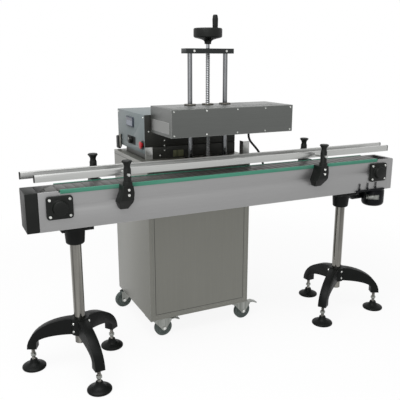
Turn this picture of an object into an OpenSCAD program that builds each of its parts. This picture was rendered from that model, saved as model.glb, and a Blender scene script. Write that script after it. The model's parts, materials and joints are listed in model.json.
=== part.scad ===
// Induction cap sealer: slat conveyor on two tripod stands, cabinet on casters, lifting sealing head.
// Millimetres, +Z up, +X along the conveyor, -Y is the operator side.

/* [Conveyor] */
// length of the side panels
conv_len = 1800; // [1600:10:2200]
// width over both side panels
conv_w = 130; // [122:1:160]
// height of the chain's top face above the floor
conv_top = 824; // [800:2:900]
// height of the side panels
panel_h = 162; // [156:1:190]
// thickness of the side panels
panel_t = 3; // [2:0.5:4]
// least distance from a panel's end to its shaft
shaft_inset = 80; // [80:1:120]
// diameter of both shafts
shaft_d = 25; // [20:1:30]
// length of the black end cover at the infeed
infeed_cover_len = 50; // [30:1:80]
// length of the steel end cover at the outfeed
outfeed_cover_len = 22; // [14:1:40]
// width of a bearing flange
bearing_w = 106; // [80:1:112]
// height of a bearing flange
bearing_h = 94; // [80:1:100]
// diameter of the gear motor
motor_d = 116; // [90:1:118]
// height of the gear motor
motor_h = 98; // [80:1:140]

/* [Guide rails] */
// height of a guide rail bar
rail_h = 29; // [20:1:32]
// thickness of a guide rail bar
rail_t = 12; // [8:1:16]
// distance from the conveyor's centre line to a rail's inner face
rail_gap = 40; // [32:1:46]
// gap from the chain's top face to a rail's bottom
rail_lift = 36; // [28:1:50]
// diameter of the rods that carry the rails
rail_rod_d = 12; // [8:1:14]
// diameter of a bracket's post
post_d = 31; // [26:1:36]
// diameter of a clamping knob
knob_d = 44; // [36:1:50]
// distance from the side panel's outer face to a post's axis
post_out = 46; // [40:1:60]

/* [Stands] */
// distance from the infeed end of the panels to its stand
stand_in_left = 150; // [120:5:300]
// distance from the outfeed end of the panels to its stand
stand_in_right = 255; // [240:5:350]
// diameter of a stand's tube
tube_d = 48; // [38:1:60]
// turn of the tripods about their tubes, in degrees
tripod_turn = -25; // [-40:1:0]
// distance from a tube's axis to a foot's axis
foot_reach = 212; // [190:1:280]
// diameter of a foot pad
pad_d = 104; // [80:1:120]
// thickness of a tripod leg
leg_t = 42; // [36:1:50]

/* [Cabinet] */
// width of the cabinet
cab_w = 532; // [480:1:600]
// depth of the cabinet
cab_d = 488; // [460:5:600]
// height of the deck above the chain's top face
deck_rise = 45; // [30:1:60]
// overall height of a caster
caster_h = 105; // [100:1:120]
// diameter of a caster wheel
wheel_d = 88; // [70:1:90]
// sheet thickness of the cabinet, the console and the head
sheet = 2; // [1.5:0.5:3]

/* [Console] */
// depth of the console on the deck
console_d = 394; // [360:1:400]
// height of the console's cover
console_h = 181; // [170:1:220]
// height of the console's base
console_base_h = 26; // [18:1:34]

/* [Sealing head] */
// length of the head along the conveyor
head_w = 610; // [560:5:640]
// depth of the head
head_d = 240; // [225:1:250]
// height of the head
head_h = 121; // [100:1:150]
// height of the head's bottom above the chain, at rest
head_gap = 175; // [150:1:220]
// diameter of the two guide rods
rod_d = 22; // [16:1:28]
// diameter of the lead screw
screw_d = 20; // [16:1:24]
// distance from the lead screw to a guide rod
rod_pitch = 90; // [70:1:110]
// height of the cross bar's underside above the deck
crossbar_lift = 480; // [440:5:560]
// diameter of the hand wheel
handwheel_d = 130; // [110:1:160]

/* [Hidden] */
$fn = 64;

// fits
air = 0.3;
run_fit = 0.05;

// chain and shafts
pitch = 38.1;
teeth = 10;
pin_drop = 6;
slat_t = 4;
slat_gap = 1;
barrel_r = 4.5;
barrel_l = 42;
pin_r = pitch / (2 * sin(180 / teeth));
run_links = floor((conv_len - 2 * shaft_inset) / pitch);
shaft_x = run_links * pitch / 2;
shaft_z = conv_top - pin_drop - pin_r;
chain_side = 8;
chain_w = conv_w - 2 * chain_side;
sprocket_w = 40;
sprocket_tip = pin_r - barrel_r - 1;
sprocket_root = sprocket_tip - 8;
tooth_half = 7;
tip_half = 3.5;

// side panels and wear strips
panel_drop = 2;
flange_w = 22;
panel_top = conv_top - panel_drop;
panel_bottom = panel_top - panel_h;
panel_y = conv_w / 2;
return_z = shaft_z - pin_r - pin_drop;
strip_t = 5;
notch_z = conv_top - slat_t - strip_t;
strip_lip = 2;
strip_leg = 4;
strip_drop = 5;
strip_rise = 2;
strip_in = 18;
strip_end = 6;
spacer_d = 20;
spacer_step = 450;
shaft_hole = shaft_d + 6;

// bearings, covers and drive
bearing_t = 12;
bearing_r = 12;
bearing_cap_d = 64;
bearing_cap_t = 18;
bearing_taper = 6;
bearing_bore = 24;
cover_t = 3;
cover_slope = 4;
motor_in = 34;
motor_x = conv_len / 2 - motor_in;
motor_y = 4;
motor_flange = 8;
motor_neck = 4;
motor_dome = 20;
motor_boss_d = 46;
guard_w = 140;
guard_t = 32;
guard_low = 4;
guard_cut = 24;
guard_shaft = 22;

// guide rails and brackets
rail_z = conv_top + rail_lift + rail_h / 2;
front_over = [5, -12];
rear_over = [45, 24];
front_in = [350, 468];
rear_in = [271, 423];
half_len = conv_len / 2;
front_rail_ends = [-half_len - front_over[0], half_len + front_over[1]];
rear_rail_ends = [-half_len - rear_over[0], half_len + rear_over[1]];
front_posts = [front_in[0] - half_len, half_len - front_in[1]];
rear_posts = [rear_in[0] - half_len, half_len - rear_in[1]];
post_y = panel_y + post_out;
post_over = 8.5;
post_top = rail_z + rail_h / 2 + post_over;
arm_rise = 4;
arm_top = conv_top + arm_rise;
arm_drop = 98;
arm_low = conv_top - arm_drop;
rod_tail = 24;
collar_d = 40;
collar_h = 16;
arm_w = 44;
arm_foot = 30;
arm_lean = 18;
arm_round = 2;
knob_stem_d = 10;
knob_stem = 10;
knob_h = 34;
knob_neck_d = 25;
knob_rim = 9;
knob_lip = 3;

// stands
left_stand = stand_in_left - half_len;
right_stand = half_len - stand_in_right;
left_feet = [180 + tripod_turn, 300 + tripod_turn, 60 + tripod_turn];
right_feet = [tripod_turn, 240 + tripod_turn, 120 + tripod_turn];
head_flange_w = 134;
head_flange_t = 14;
socket_wall = 15;
socket_d = tube_d + 2 * socket_wall;
socket_h = 68;
socket_step = 5;
tube_wall = 3;
tube_foot = 128;
hub_wall = 16;
hub_d = tube_d + 2 * hub_wall;
hub_low = 170;
hub_high = 242;
boss_d = leg_t;
boss_low = 97;
leg_sag = 46;
leg_steps = 12;
pad_t = 12;
pad_h = 42;
pad_round = 3;
pad_swell = 10;
pad_neck = 15;
spindle_d = 16;
spindle_in = 30;
spindle_top = boss_low + spindle_in;
hex_d = 26;
hex_z = 58;
hex_h = 12;

// cabinet
deck_z = conv_top + deck_rise;
cab_x = -127.5;
cab_gap = 14;
cab_front = panel_y + cab_gap;
cab_back = cab_front + cab_d;
cab_left = cab_x - cab_w / 2;
cab_right = cab_x + cab_w / 2;
frame_w = 17;
frame_stop = 12;
panel_gap = 1.5;
tie_w = 60;
tie_h = 50;
tie_drop = 60;
tie_reach = 150;

// casters, as seen from above: front left, front right, rear left, rear right
caster_inset = 43;
caster_left = cab_left + caster_inset;
caster_right = cab_right - caster_inset;
caster_front = cab_front + caster_inset;
caster_rear = cab_back - caster_inset;
caster_plate_w = 84;
caster_plate_t = 4;
race_d = 58;
race_t = 5;
kingpin_d = 16;
fork_trail = 36;
fork_t = 3;
fork_play = 2;
wheel_w = 28;
tyre_t = 12;
tyre_crown = 6;
web_dish = 4;
axle_d = 10;
axle_out = 3;
axle_z = wheel_d / 2;
fork_top = caster_h - caster_plate_t - air;
fork_low = fork_top - race_t;
fork_half = wheel_w / 2 + fork_play;
fork_ear = 13;
pedal_pin_d = 5;
pedal_eye = 5;
pedal_x = 70;
pedal_l = 48;
pedal_t = 5;
pedal_dip = 10;
pedal_drop = 12;
pedal_z = fork_low - pedal_drop;

// console on the deck
console_in = [34.5, 21.5];
console_over = 26;
console_left = cab_left + console_in[0];
console_right = cab_right - console_in[1];
console_back = cab_back + console_over;
console_front_y = console_back - console_d;
console_low = deck_z + console_base_h;
console_top = console_low + console_h;
base_inset = 2;
base_back = 120;
front_t = 3;
seam_up = 56;
front_seam = deck_z + seam_up;
seam_gap = 2;
post_w = 36;
post_t = 3;
left_post_h = 57;
right_post_h = 72;
post_set = [2, 8];
right_post_y = cab_front + post_set[1];
meter_w = 96;
meter_h = 48;
meter_t = 7;
meter_in = 192;
meter_down = 47;
meter_y = console_front_y + meter_in;
meter_z = console_top - meter_down;
power_in = 186;
power_up = 44;
power_y = console_front_y + power_in;
power_z = console_low + power_up;
power_d = 34;
power_t = 16;
power_taper = 4;
power_stem_d = 8;
stop_in = 27;
stop_up = 39;
stop_y = console_front_y + stop_in;
stop_z = console_low + stop_up;
stop_collar_d = 42;
stop_collar_t = 3;
stop_cap_d = 36;
stop_cap_t = 8;
stop_round = 3;
stop_stem_d = 20;
stop_stroke = 5;

// sealing head and its lift
head_x = -30.5;
head_left = head_x - head_w / 2;
head_front = -panel_y;
head_back = head_front + head_d;
head_low = conv_top + head_gap;
head_high = head_low + head_h;
screw_x = -75.5;
rod_in = 36;
rod_y = cab_front + rod_in;
rod_base_d = 50;
rod_base_h = 9;
bush_wall = 8;
bush_flange_d = 54;
bush_flange_t = 6;
coil_base_t = 14;
coil_w = 360;
coil_d = 90;
coil_t = 26;
coil_h = 22;
vent_l = 34;
vent_w = 6;
vent_step = 46;
vent_rows = 5;
vent_cols = 11;
vent_pitch = 14;
vent_in = 26;
vent_y = head_front + vent_in;
crossbar_end = 30;
crossbar_w = 2 * (rod_pitch + crossbar_end);
crossbar_d = 55;
crossbar_t = 22;
crossbar_z = deck_z + crossbar_lift;
screw_neck_d = 14;
screw_foot = 4;
hub_gap = 0.5;
hub_cone_z = crossbar_z + crossbar_t + hub_gap;
wheel_hub_d = 40;
wheel_hub_h = 14;
wheel_cone_h = 34;
wheel_rim_h = 40;
wheel_rim_t = 11;
wheel_round = 6;
wheel_dish = 8;
handle_d = 26;
handle_h = 64;
handle_foot = 8;
handle_round = 5;
handle_pin_d = 9;
handle_gap = 2;
handle_r = handwheel_d / 2 - wheel_rim_t - handle_d / 2 - handle_gap;
handle_turn = -60;

// cable from the head's underside to the cabinet's side, its route in steps from the head's strain relief
cable_r = 5.5;
cable_sides = 10;
cable_in = 25;
cable_stand = 30;
relief_flange = 26;
relief_t = 5;
relief_d = 22;
relief_tip = 13;
relief_l = 26;
gland_back = 204;
gland_drop = 376;
cable_start = [cab_right + cable_stand, head_back - cable_in, head_low];
cable_route = [[0, 0, -26], [0, 0, -37], [3, 0, -53], [11, 0, -69], [24, 0, -84], [40, 0, -101],
    [58, 0, -122], [72, 1, -145], [83, 2, -169], [91, 3, -194], [96, 4, -220], [99, 5, -246],
    [100, 6, -272], [100, 7, -298], [100, 8, -322], [99, 9, -346], [97, 13, -369], [90, 24, -389],
    [80, 41, -402], [69, 61, -407], [62, 82, -406], [60, 106, -402], [60, 130, -396], [59, 152, -390],
    [54, 174, -384], [41, 192, -379], [22, 202, -377], [8, 204, -376], [-4, 204, -376]];
cable_path = [for (p = cable_route) cable_start + p];

// frame: origin on the floor, under the middle of the whole
pad_r = pad_d / 2;
left_x = [for (a = left_feet) left_stand + foot_reach * cos(a)];
right_x = [for (a = right_feet) right_stand + foot_reach * cos(a)];
feet_y = [for (a = concat(left_feet, right_feet)) foot_reach * sin(a)];
x_min = min(min(left_x) - pad_r, rear_rail_ends[0], -half_len - infeed_cover_len);
x_max = max(max(right_x) + pad_r, rear_rail_ends[1], half_len + outfeed_cover_len, motor_x + motor_d / 2);
y_min = min(feet_y) - pad_r;
y_max = max(cab_back, console_back);
frame_x = (x_min + x_max) / 2;
frame_y = (y_min + y_max) / 2;

steel = [0.66, 0.67, 0.66];
dark = [0.13, 0.14, 0.13];

module placed() {
    translate([-frame_x, -frame_y, 0]) children();
}

// cylinder along +Y from y0 to y1
module bar_y(d, x, y0, y1, z) {
    translate([x, y0, z]) rotate([-90, 0, 0]) cylinder(d = d, h = y1 - y0);
}

// cylinder along +X from x0 to x1
module bar_x(d, x0, x1, y, z) {
    translate([x0, y, z]) rotate([0, 90, 0]) cylinder(d = d, h = x1 - x0);
}

// plan in X and Z, from y0 to y1
module slab_y(y0, y1) {
    translate([0, y1, 0]) rotate([90, 0, 0]) linear_extrude(y1 - y0) children();
}

module block(x0, y0, z0, x1, y1, z1) {
    translate([x0, y0, z0]) cube([x1 - x0, y1 - y0, z1 - z0]);
}

function arc_points(c, r, a0, a1, n) =
    [for (i = [0:n]) [c[0] + r * cos(a0 + (a1 - a0) * i / n), c[1] + r * sin(a0 + (a1 - a0) * i / n)]];

function round_plate(w, h, r, n) = concat(
    arc_points([w / 2 - r, h / 2 - r], r, 0, 90, n), arc_points([r - w / 2, h / 2 - r], r, 90, 180, n),
    arc_points([r - w / 2, r - h / 2], r, 180, 270, n), arc_points([w / 2 - r, r - h / 2], r, 270, 360, n));

function unit(v) = v / norm(v);

// panel with its notch and bottom flange, drawn for the front side
module side_panel() {
    inner = panel_t - panel_y;
    difference() {
        slab_y(-panel_y, inner) polygon([[-half_len, panel_bottom], [half_len, panel_bottom],
            [half_len, panel_top], [shaft_x, panel_top], [shaft_x, notch_z], [-shaft_x, notch_z],
            [-shaft_x, panel_top], [-half_len, panel_top]]);
        for (x = [-shaft_x, shaft_x]) bar_y(shaft_hole, x, -panel_y - 1, inner + 1, shaft_z);
    }
    block(-half_len, inner, panel_bottom, half_len, inner + flange_w, panel_bottom + panel_t);
}

module front_side_panel() {
    color(steel) placed() side_panel();
}

module rear_side_panel() {
    color(steel) placed() mirror([0, 1, 0]) side_panel();
}

// round spacers between the panels, and the square ties from the rear panel to the cabinet
module frame_ties() {
    tie_top = conv_top - tie_drop;
    color(steel) placed() {
        for (x = [-spacer_step, 0, spacer_step])
            bar_y(spacer_d, x, panel_t - panel_y, panel_y - panel_t, shaft_z);
        for (x = [cab_x - tie_reach, cab_x + tie_reach])
            block(x - tie_w / 2, panel_y, tie_top - tie_h, x + tie_w / 2, cab_front, tie_top);
    }
}

// strip clipped over the panel's edge with its guiding lip, and the strip under the return run
module strip_pair() {
    x1 = shaft_x - strip_end;
    low = notch_z - strip_drop;
    outer = -panel_y - strip_lip;
    inner = panel_t - panel_y;
    translate([-x1, 0, 0]) rotate([90, 0, 90]) linear_extrude(2 * x1)
        polygon([[outer, low], [-panel_y, low], [-panel_y, notch_z], [inner, notch_z], [inner, low],
            [inner + strip_leg, low], [inner + strip_leg, notch_z], [inner + strip_in, notch_z],
            [inner + strip_in, conv_top - slat_t], [-chain_w / 2 - 1, conv_top - slat_t],
            [-chain_w / 2 - 1, conv_top + strip_rise], [outer, conv_top + strip_rise]]);
    block(-x1, inner, panel_bottom + panel_t, x1, inner + strip_in, return_z);
}

module wear_strips() {
    color([0.2, 0.6, 0.45]) placed() {
        strip_pair();
        mirror([0, 1, 0]) strip_pair();
    }
}

// one link: the slat and the hinge barrel at its leading pin, drawn along +X from its first pin
module link() {
    block(slat_gap / 2, -chain_w / 2, pin_drop - slat_t, pitch - slat_gap / 2, chain_w / 2, pin_drop);
    bar_y(2 * barrel_r, 0, -barrel_l / 2, barrel_l / 2, 0);
}

module slat_chain() {
    step = 360 / teeth;
    color([0.3, 0.3, 0.3]) placed() union() {
        for (i = [0:run_links - 1]) {
            translate([-shaft_x + i * pitch, 0, shaft_z + pin_r]) link();
            translate([shaft_x - i * pitch, 0, shaft_z - pin_r]) rotate([0, 180, 0]) link();
        }
        for (i = [0:teeth / 2 - 1]) {
            translate([shaft_x, 0, shaft_z]) rotate([0, i * step, 0]) translate([0, 0, pin_r])
                rotate([0, step / 2, 0]) link();
            translate([-shaft_x, 0, shaft_z]) rotate([0, 180 + i * step, 0]) translate([0, 0, pin_r])
                rotate([0, step / 2, 0]) link();
        }
    }
}

module infeed_cover() {
    x1 = -half_len;
    color(dark) placed() difference() {
        block(x1 - infeed_cover_len, -panel_y, panel_bottom, x1, panel_y, panel_top);
        block(x1 - infeed_cover_len + cover_t, cover_t - panel_y, panel_bottom + cover_t,
            x1 + 1, panel_y - cover_t, panel_top - cover_t);
    }
}

function outfeed_plan(x0, x1, z0, z1) =
    [[x0, z0], [x1, z0], [x1, z1 - cover_slope], [x1 - 2 * cover_slope, z1], [x0, z1]];

module outfeed_cover() {
    x0 = half_len;
    x1 = x0 + outfeed_cover_len;
    color(steel) placed() difference() {
        slab_y(-panel_y, panel_y) polygon(outfeed_plan(x0, x1, panel_bottom, panel_top));
        slab_y(cover_t - panel_y, panel_y - cover_t)
            polygon(outfeed_plan(x0 - 1, x1 - cover_t, panel_bottom + cover_t, panel_top - cover_t));
    }
}

// bearing unit on the front side at x, its cap closed
module bearing_unit(x) {
    difference() {
        union() {
            translate([x, -panel_y, shaft_z]) rotate([90, 0, 0])
                linear_extrude(bearing_t) polygon(round_plate(bearing_w, bearing_h, bearing_r, 5));
            translate([x, -panel_y - bearing_t, shaft_z]) rotate([90, 0, 0])
                cylinder(d1 = bearing_cap_d, d2 = bearing_cap_d - bearing_taper, h = bearing_cap_t);
        }
        bar_y(shaft_d + 2 * run_fit, x, -panel_y - bearing_bore, -panel_y + 1, shaft_z);
    }
}

module bearing_units() {
    color(dark) placed() {
        bearing_unit(-shaft_x);
        bearing_unit(shaft_x);
        mirror([0, 1, 0]) bearing_unit(-shaft_x);
    }
}

module drive_shaft() {
    color(steel) placed()
        bar_y(shaft_d, shaft_x, -panel_y - bearing_bore + 1, panel_y + guard_shaft, shaft_z);
}

module idler_shaft() {
    color(steel) placed()
        bar_y(shaft_d, -shaft_x, -panel_y - bearing_bore + 1, panel_y + bearing_bore - 1, shaft_z);
}

module sprocket(x) {
    step = 360 / teeth;
    translate([x, sprocket_w / 2, shaft_z]) rotate([90, 0, 0]) difference() {
        linear_extrude(sprocket_w) polygon([for (i = [0:teeth - 1]) for (p = [[sprocket_root, -tooth_half],
            [sprocket_tip, -tip_half], [sprocket_tip, tip_half], [sprocket_root, tooth_half]])
            [p[0] * cos(i * step) - p[1] * sin(i * step), p[0] * sin(i * step) + p[1] * cos(i * step)]]);
        translate([0, 0, -1]) cylinder(d = shaft_d, h = sprocket_w + 2);
    }
}

module drive_sprocket() {
    color(dark) placed() sprocket(shaft_x);
}

module idler_sprocket() {
    color(dark) placed() sprocket(-shaft_x);
}

// gear motor hung under the frame, its output boss against the guard
module drive_motor() {
    low = panel_bottom - motor_h;
    r = motor_d / 2;
    groove = [panel_bottom - 2 * motor_flange, panel_bottom - motor_flange];
    color(dark) placed() {
        translate([motor_x, motor_y, 0]) rotate_extrude() polygon(concat([[0, low]],
            arc_points([r - motor_dome, low + motor_dome], motor_dome, -90, 0, 6),
            [[r, groove[0]], [r - motor_neck, groove[0]], [r - motor_neck, groove[1]], [r, groove[1]],
            [r, panel_bottom], [0, panel_bottom]]));
        bar_y(motor_boss_d, motor_x, motor_y, panel_y, panel_bottom - motor_h / 2);
    }
}

// closed guard over the drive at the rear, below the wear strip and hollow where the shaft ends
module drive_guard() {
    low = panel_bottom - motor_h / 2 - motor_boss_d / 2 - guard_low;
    high = notch_z - strip_drop - air;
    x1 = half_len - guard_low;
    x0 = x1 - guard_w;
    color(dark) placed() difference() {
        slab_y(panel_y, panel_y + guard_t)
            polygon([[x0, low + guard_cut], [x0 + guard_cut, low], [x1 - guard_cut, low],
                [x1, low + guard_cut], [x1, high - guard_cut], [x1 - guard_cut, high],
                [x0 + guard_cut, high], [x0, high - guard_cut]]);
        bar_y(2 * shaft_d, shaft_x, panel_y - 1, panel_y + guard_t - cover_t, shaft_z);
    }
}

// outline of a bracket's arm from the front, leaning toward -X at its foot
function arm_front(x) =
    [[x - arm_w / 2 - arm_lean, arm_low + arm_foot], [x - arm_w / 2 - arm_lean / 3, arm_low],
    [x + arm_w / 4 - arm_lean / 3, arm_low], [x + arm_w / 2 - arm_round, arm_low + arm_foot],
    [x + arm_w / 2 + arm_round, arm_top - arm_foot], [x + arm_w / 2 - arm_round, arm_top],
    [x - arm_w / 2, arm_top], [x - arm_w / 2 - arm_round, arm_top - arm_foot]];

// the same arm from the side, clear of the wear strip
function arm_side() =
    let (clear = -panel_y - strip_lip - air, under = notch_z - strip_drop - air, out = -post_y - post_d / 2)
    [[-panel_y, arm_low], [-panel_y, under], [clear, under], [clear, arm_top], [out, arm_top],
    [out, arm_top - 2 * arm_foot], [-panel_y - arm_foot, arm_low]];

// bracket on the front side at x: leaning arm, collar and post with the bores for rod and knob
module rail_bracket(x) {
    bore = knob_stem_d + 2 * air;
    post_h = post_top - arm_top;
    difference() {
        union() {
            intersection() {
                slab_y(-post_y - post_d / 2, -panel_y) polygon(arm_front(x));
                translate([x - 2 * arm_w, 0, 0]) rotate([90, 0, 90]) linear_extrude(4 * arm_w)
                    polygon(arm_side());
            }
            translate([x, -post_y, arm_top]) cylinder(d = collar_d, h = collar_h);
            translate([x, -post_y, arm_top]) cylinder(d = post_d, h = post_h);
        }
        bar_y(rail_rod_d + 4 * run_fit, x, -post_y - post_d, -post_y + post_d, rail_z);
        translate([x, -post_y, post_top - knob_stem - 1]) cylinder(d = bore, h = knob_stem + 2);
    }
}

module rail_brackets() {
    color(dark) placed() {
        for (x = front_posts) rail_bracket(x);
        mirror([0, 1, 0]) for (x = rear_posts) rail_bracket(x);
    }
}

// rail on the front side with its two rods
module guide_rail(ends, posts) {
    block(ends[0], -rail_gap - rail_t, rail_z - rail_h / 2, ends[1], -rail_gap, rail_z + rail_h / 2);
    for (x = posts) bar_y(rail_rod_d, x, -post_y - rod_tail, -rail_gap - rail_t / 2, rail_z);
}

module front_rail() {
    color([0.75, 0.76, 0.74]) placed() guide_rail(front_rail_ends, front_posts);
}

module rear_rail() {
    color([0.75, 0.76, 0.74]) placed() mirror([0, 1, 0]) guide_rail(rear_rail_ends, rear_posts);
}

module clamp_knob(x, y) {
    r = knob_d / 2;
    neck = knob_neck_d / 2;
    color(dark) placed() translate([x, y, post_top + air]) {
        rotate_extrude() polygon([[0, 0], [post_d / 2 - 1, 0], [neck, knob_h / 4], [neck + 1, knob_h / 2],
            [r - knob_lip, knob_h - knob_rim], [r, knob_h - knob_rim + knob_lip], [r, knob_h - knob_lip],
            [r - knob_lip, knob_h], [0, knob_h]]);
        translate([0, 0, -knob_stem]) cylinder(d = knob_stem_d, h = knob_stem + 1);
    }
}

module knob_front_left() {
    clamp_knob(front_posts[0], -post_y);
}

module knob_front_right() {
    clamp_knob(front_posts[1], -post_y);
}

module knob_rear_left() {
    clamp_knob(rear_posts[0], post_y);
}

module knob_rear_right() {
    clamp_knob(rear_posts[1], post_y);
}

module stand_head(x) {
    flange_z = panel_bottom - head_flange_t;
    socket_low = flange_z - socket_h;
    r = socket_d / 2;
    translate([x, 0, 0]) difference() {
        union() {
            block(-head_flange_w / 2, panel_t - panel_y, flange_z, head_flange_w / 2, panel_y - panel_t,
                panel_bottom);
            rotate_extrude() polygon([[0, socket_low], [r - socket_step, socket_low],
                [r, socket_low + socket_step], [r + socket_step, flange_z], [0, flange_z]]);
        }
        translate([0, 0, socket_low - 1]) cylinder(d = tube_d, h = socket_h + 1);
    }
}

module stand_heads() {
    color(dark) placed() {
        stand_head(left_stand);
        stand_head(right_stand);
    }
}

module stand_tubes() {
    color(steel) placed() for (x = [left_stand, right_stand]) translate([x, 0, tube_foot]) difference() {
        cylinder(d = tube_d, h = panel_bottom - head_flange_t - tube_foot);
        translate([0, 0, -1]) cylinder(d = tube_d - 2 * tube_wall, h = panel_bottom);
    }
}

// leg along +X under a quarter ellipse, hollowed below by a flatter one, with the boss for its foot
module tripod_leg() {
    outer = foot_reach + boss_d / 2;
    inner = foot_reach - boss_d / 2;
    steps = [for (i = [0:leg_steps]) 90 * i / leg_steps];
    top_arc = [for (a = steps) [outer * sin(a), boss_low + (hub_high - boss_low) * cos(a)]];
    low_arc = [for (a = steps) [inner * cos(a), hub_low - leg_sag * (1 - sin(a))]];
    difference() {
        slab_y(-leg_t / 2, leg_t / 2) polygon(concat(top_arc, [[inner, boss_low]], low_arc));
        translate([foot_reach, 0, boss_low - 1]) cylinder(d = spindle_d, h = spindle_in + 1);
    }
}

module tripod(x, feet) {
    translate([x, 0, 0]) difference() {
        union() {
            translate([0, 0, hub_low]) cylinder(d = hub_d, h = hub_high - hub_low);
            for (a = feet) rotate([0, 0, a]) tripod_leg();
        }
        translate([0, 0, hub_low - 1]) cylinder(d = tube_d, h = hub_high - hub_low + 2);
    }
}

module tripod_bases() {
    color(dark) placed() {
        tripod(left_stand, left_feet);
        tripod(right_stand, right_feet);
    }
}

module at_feet() {
    for (a = left_feet) translate([left_stand + foot_reach * cos(a), foot_reach * sin(a), 0]) children();
    for (a = right_feet) translate([right_stand + foot_reach * cos(a), foot_reach * sin(a), 0]) children();
}

module foot_spindles() {
    color(steel) placed() at_feet() {
        translate([0, 0, pad_h / 2]) cylinder(d = spindle_d, h = spindle_top - pad_h / 2);
        translate([0, 0, hex_z]) cylinder(d = hex_d, h = hex_h, $fn = 6);
    }
}

module foot_pads() {
    color(dark) placed() at_feet() difference() {
        rotate_extrude() polygon([[0, 0], [pad_r - pad_round, 0], [pad_r, pad_round],
            [pad_r, pad_t - pad_round], [pad_r - pad_round, pad_t], [pad_r / 2, pad_t + pad_swell],
            [pad_neck + pad_round, pad_h - pad_swell], [pad_neck, pad_h], [0, pad_h]]);
        translate([0, 0, pad_h / 2]) cylinder(d = spindle_d, h = pad_h);
    }
}

// hollow cabinet with a step for its front panel
module cabinet_shell() {
    step = frame_w + frame_stop;
    color(steel) placed() difference() {
        block(cab_left, cab_front, caster_h, cab_right, cab_back, deck_z);
        block(cab_left + sheet, cab_front + 2 * sheet, caster_h + sheet, cab_right - sheet, cab_back - sheet,
            deck_z - sheet);
        block(cab_left + step, cab_front - 1, caster_h + step, cab_right - step, cab_back / 2, deck_z - step);
        block(cab_left + frame_w, cab_front - 1, caster_h + frame_w, cab_right - frame_w, cab_front + sheet,
            deck_z - frame_w);
    }
}

module cabinet_front_panel() {
    edge = frame_w + panel_gap;
    color([0.55, 0.55, 0.53]) placed()
        block(cab_left + edge, cab_front, caster_h + edge, cab_right - edge, cab_front + sheet,
            deck_z - edge);
}

// tapered strain relief with its flange, along +Z from its foot
module relief() {
    cylinder(d = relief_flange, h = relief_t);
    translate([0, 0, relief_t]) cylinder(d1 = relief_d, d2 = relief_tip, h = relief_l - relief_t);
}

module cable_gland() {
    foot = cable_start + [-cable_stand, gland_back, -gland_drop];
    color(dark) placed() translate(foot) rotate([0, 90, 0]) relief();
}

module caster_plates() {
    color(steel) placed() for (x = [caster_left, caster_right]) for (y = [caster_front, caster_rear])
        difference() {
            block(x - caster_plate_w / 2, y - caster_plate_w / 2, caster_h - caster_plate_t,
                x + caster_plate_w / 2, y + caster_plate_w / 2, caster_h);
            translate([x, y, 0]) cylinder(d = kingpin_d + 2 * run_fit, h = caster_h - air);
        }
}

// outline of a fork's cheek from the side, from the race down round the axle and out to its brow
function cheek_plan(brow) =
    let (back = -race_d / 2 + fork_ear / 2)
    concat([[back, fork_low + 1], [back, fork_low - web_dish]],
        arc_points([fork_trail, axle_z], fork_ear, 200, 350, 8),
        [[brow, pedal_z - pedal_eye], [brow, pedal_z + pedal_eye], [race_d / 2, fork_low + 1]]);

// swivelling fork with its axle, trailing toward +X before its turn; braked ones carry the pedal's pin
module caster_fork(x, y, turn, braked) {
    brow = braked ? pedal_x + pedal_eye : fork_trail + fork_ear;
    color(steel) placed() translate([x, y, 0]) rotate([0, 0, turn]) {
        translate([0, 0, fork_low]) cylinder(d = race_d, h = race_t);
        translate([0, 0, fork_top - 1]) cylinder(d = kingpin_d, h = caster_plate_t - air);
        slab_y(-fork_half - fork_t, -fork_half) polygon(cheek_plan(brow));
        slab_y(fork_half, fork_half + fork_t) polygon(cheek_plan(brow));
        bar_y(axle_d, fork_trail, -fork_half - fork_t - axle_out, fork_half + fork_t + axle_out, axle_z);
        if (braked) bar_y(pedal_pin_d, pedal_x, -fork_half - 1, fork_half + 1, pedal_z);
    }
}

module fork_front_left() {
    caster_fork(caster_left, caster_front, 0, true);
}

module fork_front_right() {
    caster_fork(caster_right, caster_front, 0, true);
}

module fork_rear_left() {
    caster_fork(caster_left, caster_rear, 180, false);
}

module fork_rear_right() {
    caster_fork(caster_right, caster_rear, 180, false);
}

// wheel about its axle: hub, dished web and crowned tyre
module caster_wheel(x, y) {
    r = wheel_d / 2;
    half = wheel_w / 2;
    bore = axle_d / 2 + run_fit;
    hub = r / 3;
    web = half - web_dish;
    color([0.3, 0.33, 0.32]) placed() translate([x, y, axle_z]) rotate([90, 0, 0]) rotate_extrude()
        polygon([[bore, -half], [hub, -half], [hub, -web], [r - tyre_t - 2, -web], [r - tyre_t, -half + 1],
            [r - tyre_crown, -half + 1], [r, -half + tyre_crown], [r, half - tyre_crown],
            [r - tyre_crown, half - 1], [r - tyre_t, half - 1], [r - tyre_t - 2, web], [hub, web],
            [hub, half], [bore, half]]);
}

module wheel_front_left() {
    caster_wheel(caster_left + fork_trail, caster_front);
}

module wheel_front_right() {
    caster_wheel(caster_right + fork_trail, caster_front);
}

module wheel_rear_left() {
    caster_wheel(caster_left - fork_trail, caster_rear);
}

module wheel_rear_right() {
    caster_wheel(caster_right - fork_trail, caster_rear);
}

// pedal on its pin, dipping toward its tip
module brake_pedal(x, y) {
    half = fork_half - air;
    t = pedal_t / 2;
    color([0.5, 0.52, 0.5]) placed() translate([x + pedal_x, y, pedal_z]) difference() {
        union() {
            bar_y(pedal_pin_d + pedal_eye, 0, -half, half, 0);
            slab_y(-half, half) polygon([[0, -t], [pedal_l / 2, -t], [pedal_l, -pedal_dip - t],
                [pedal_l + t, t - pedal_dip], [pedal_l / 2 + t, t], [0, t]]);
        }
        bar_y(pedal_pin_d + 4 * run_fit, 0, -half - 1, half + 1, 0);
    }
}

module pedal_front_left() {
    brake_pedal(caster_left, caster_front);
}

module pedal_front_right() {
    brake_pedal(caster_right, caster_front);
}

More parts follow.
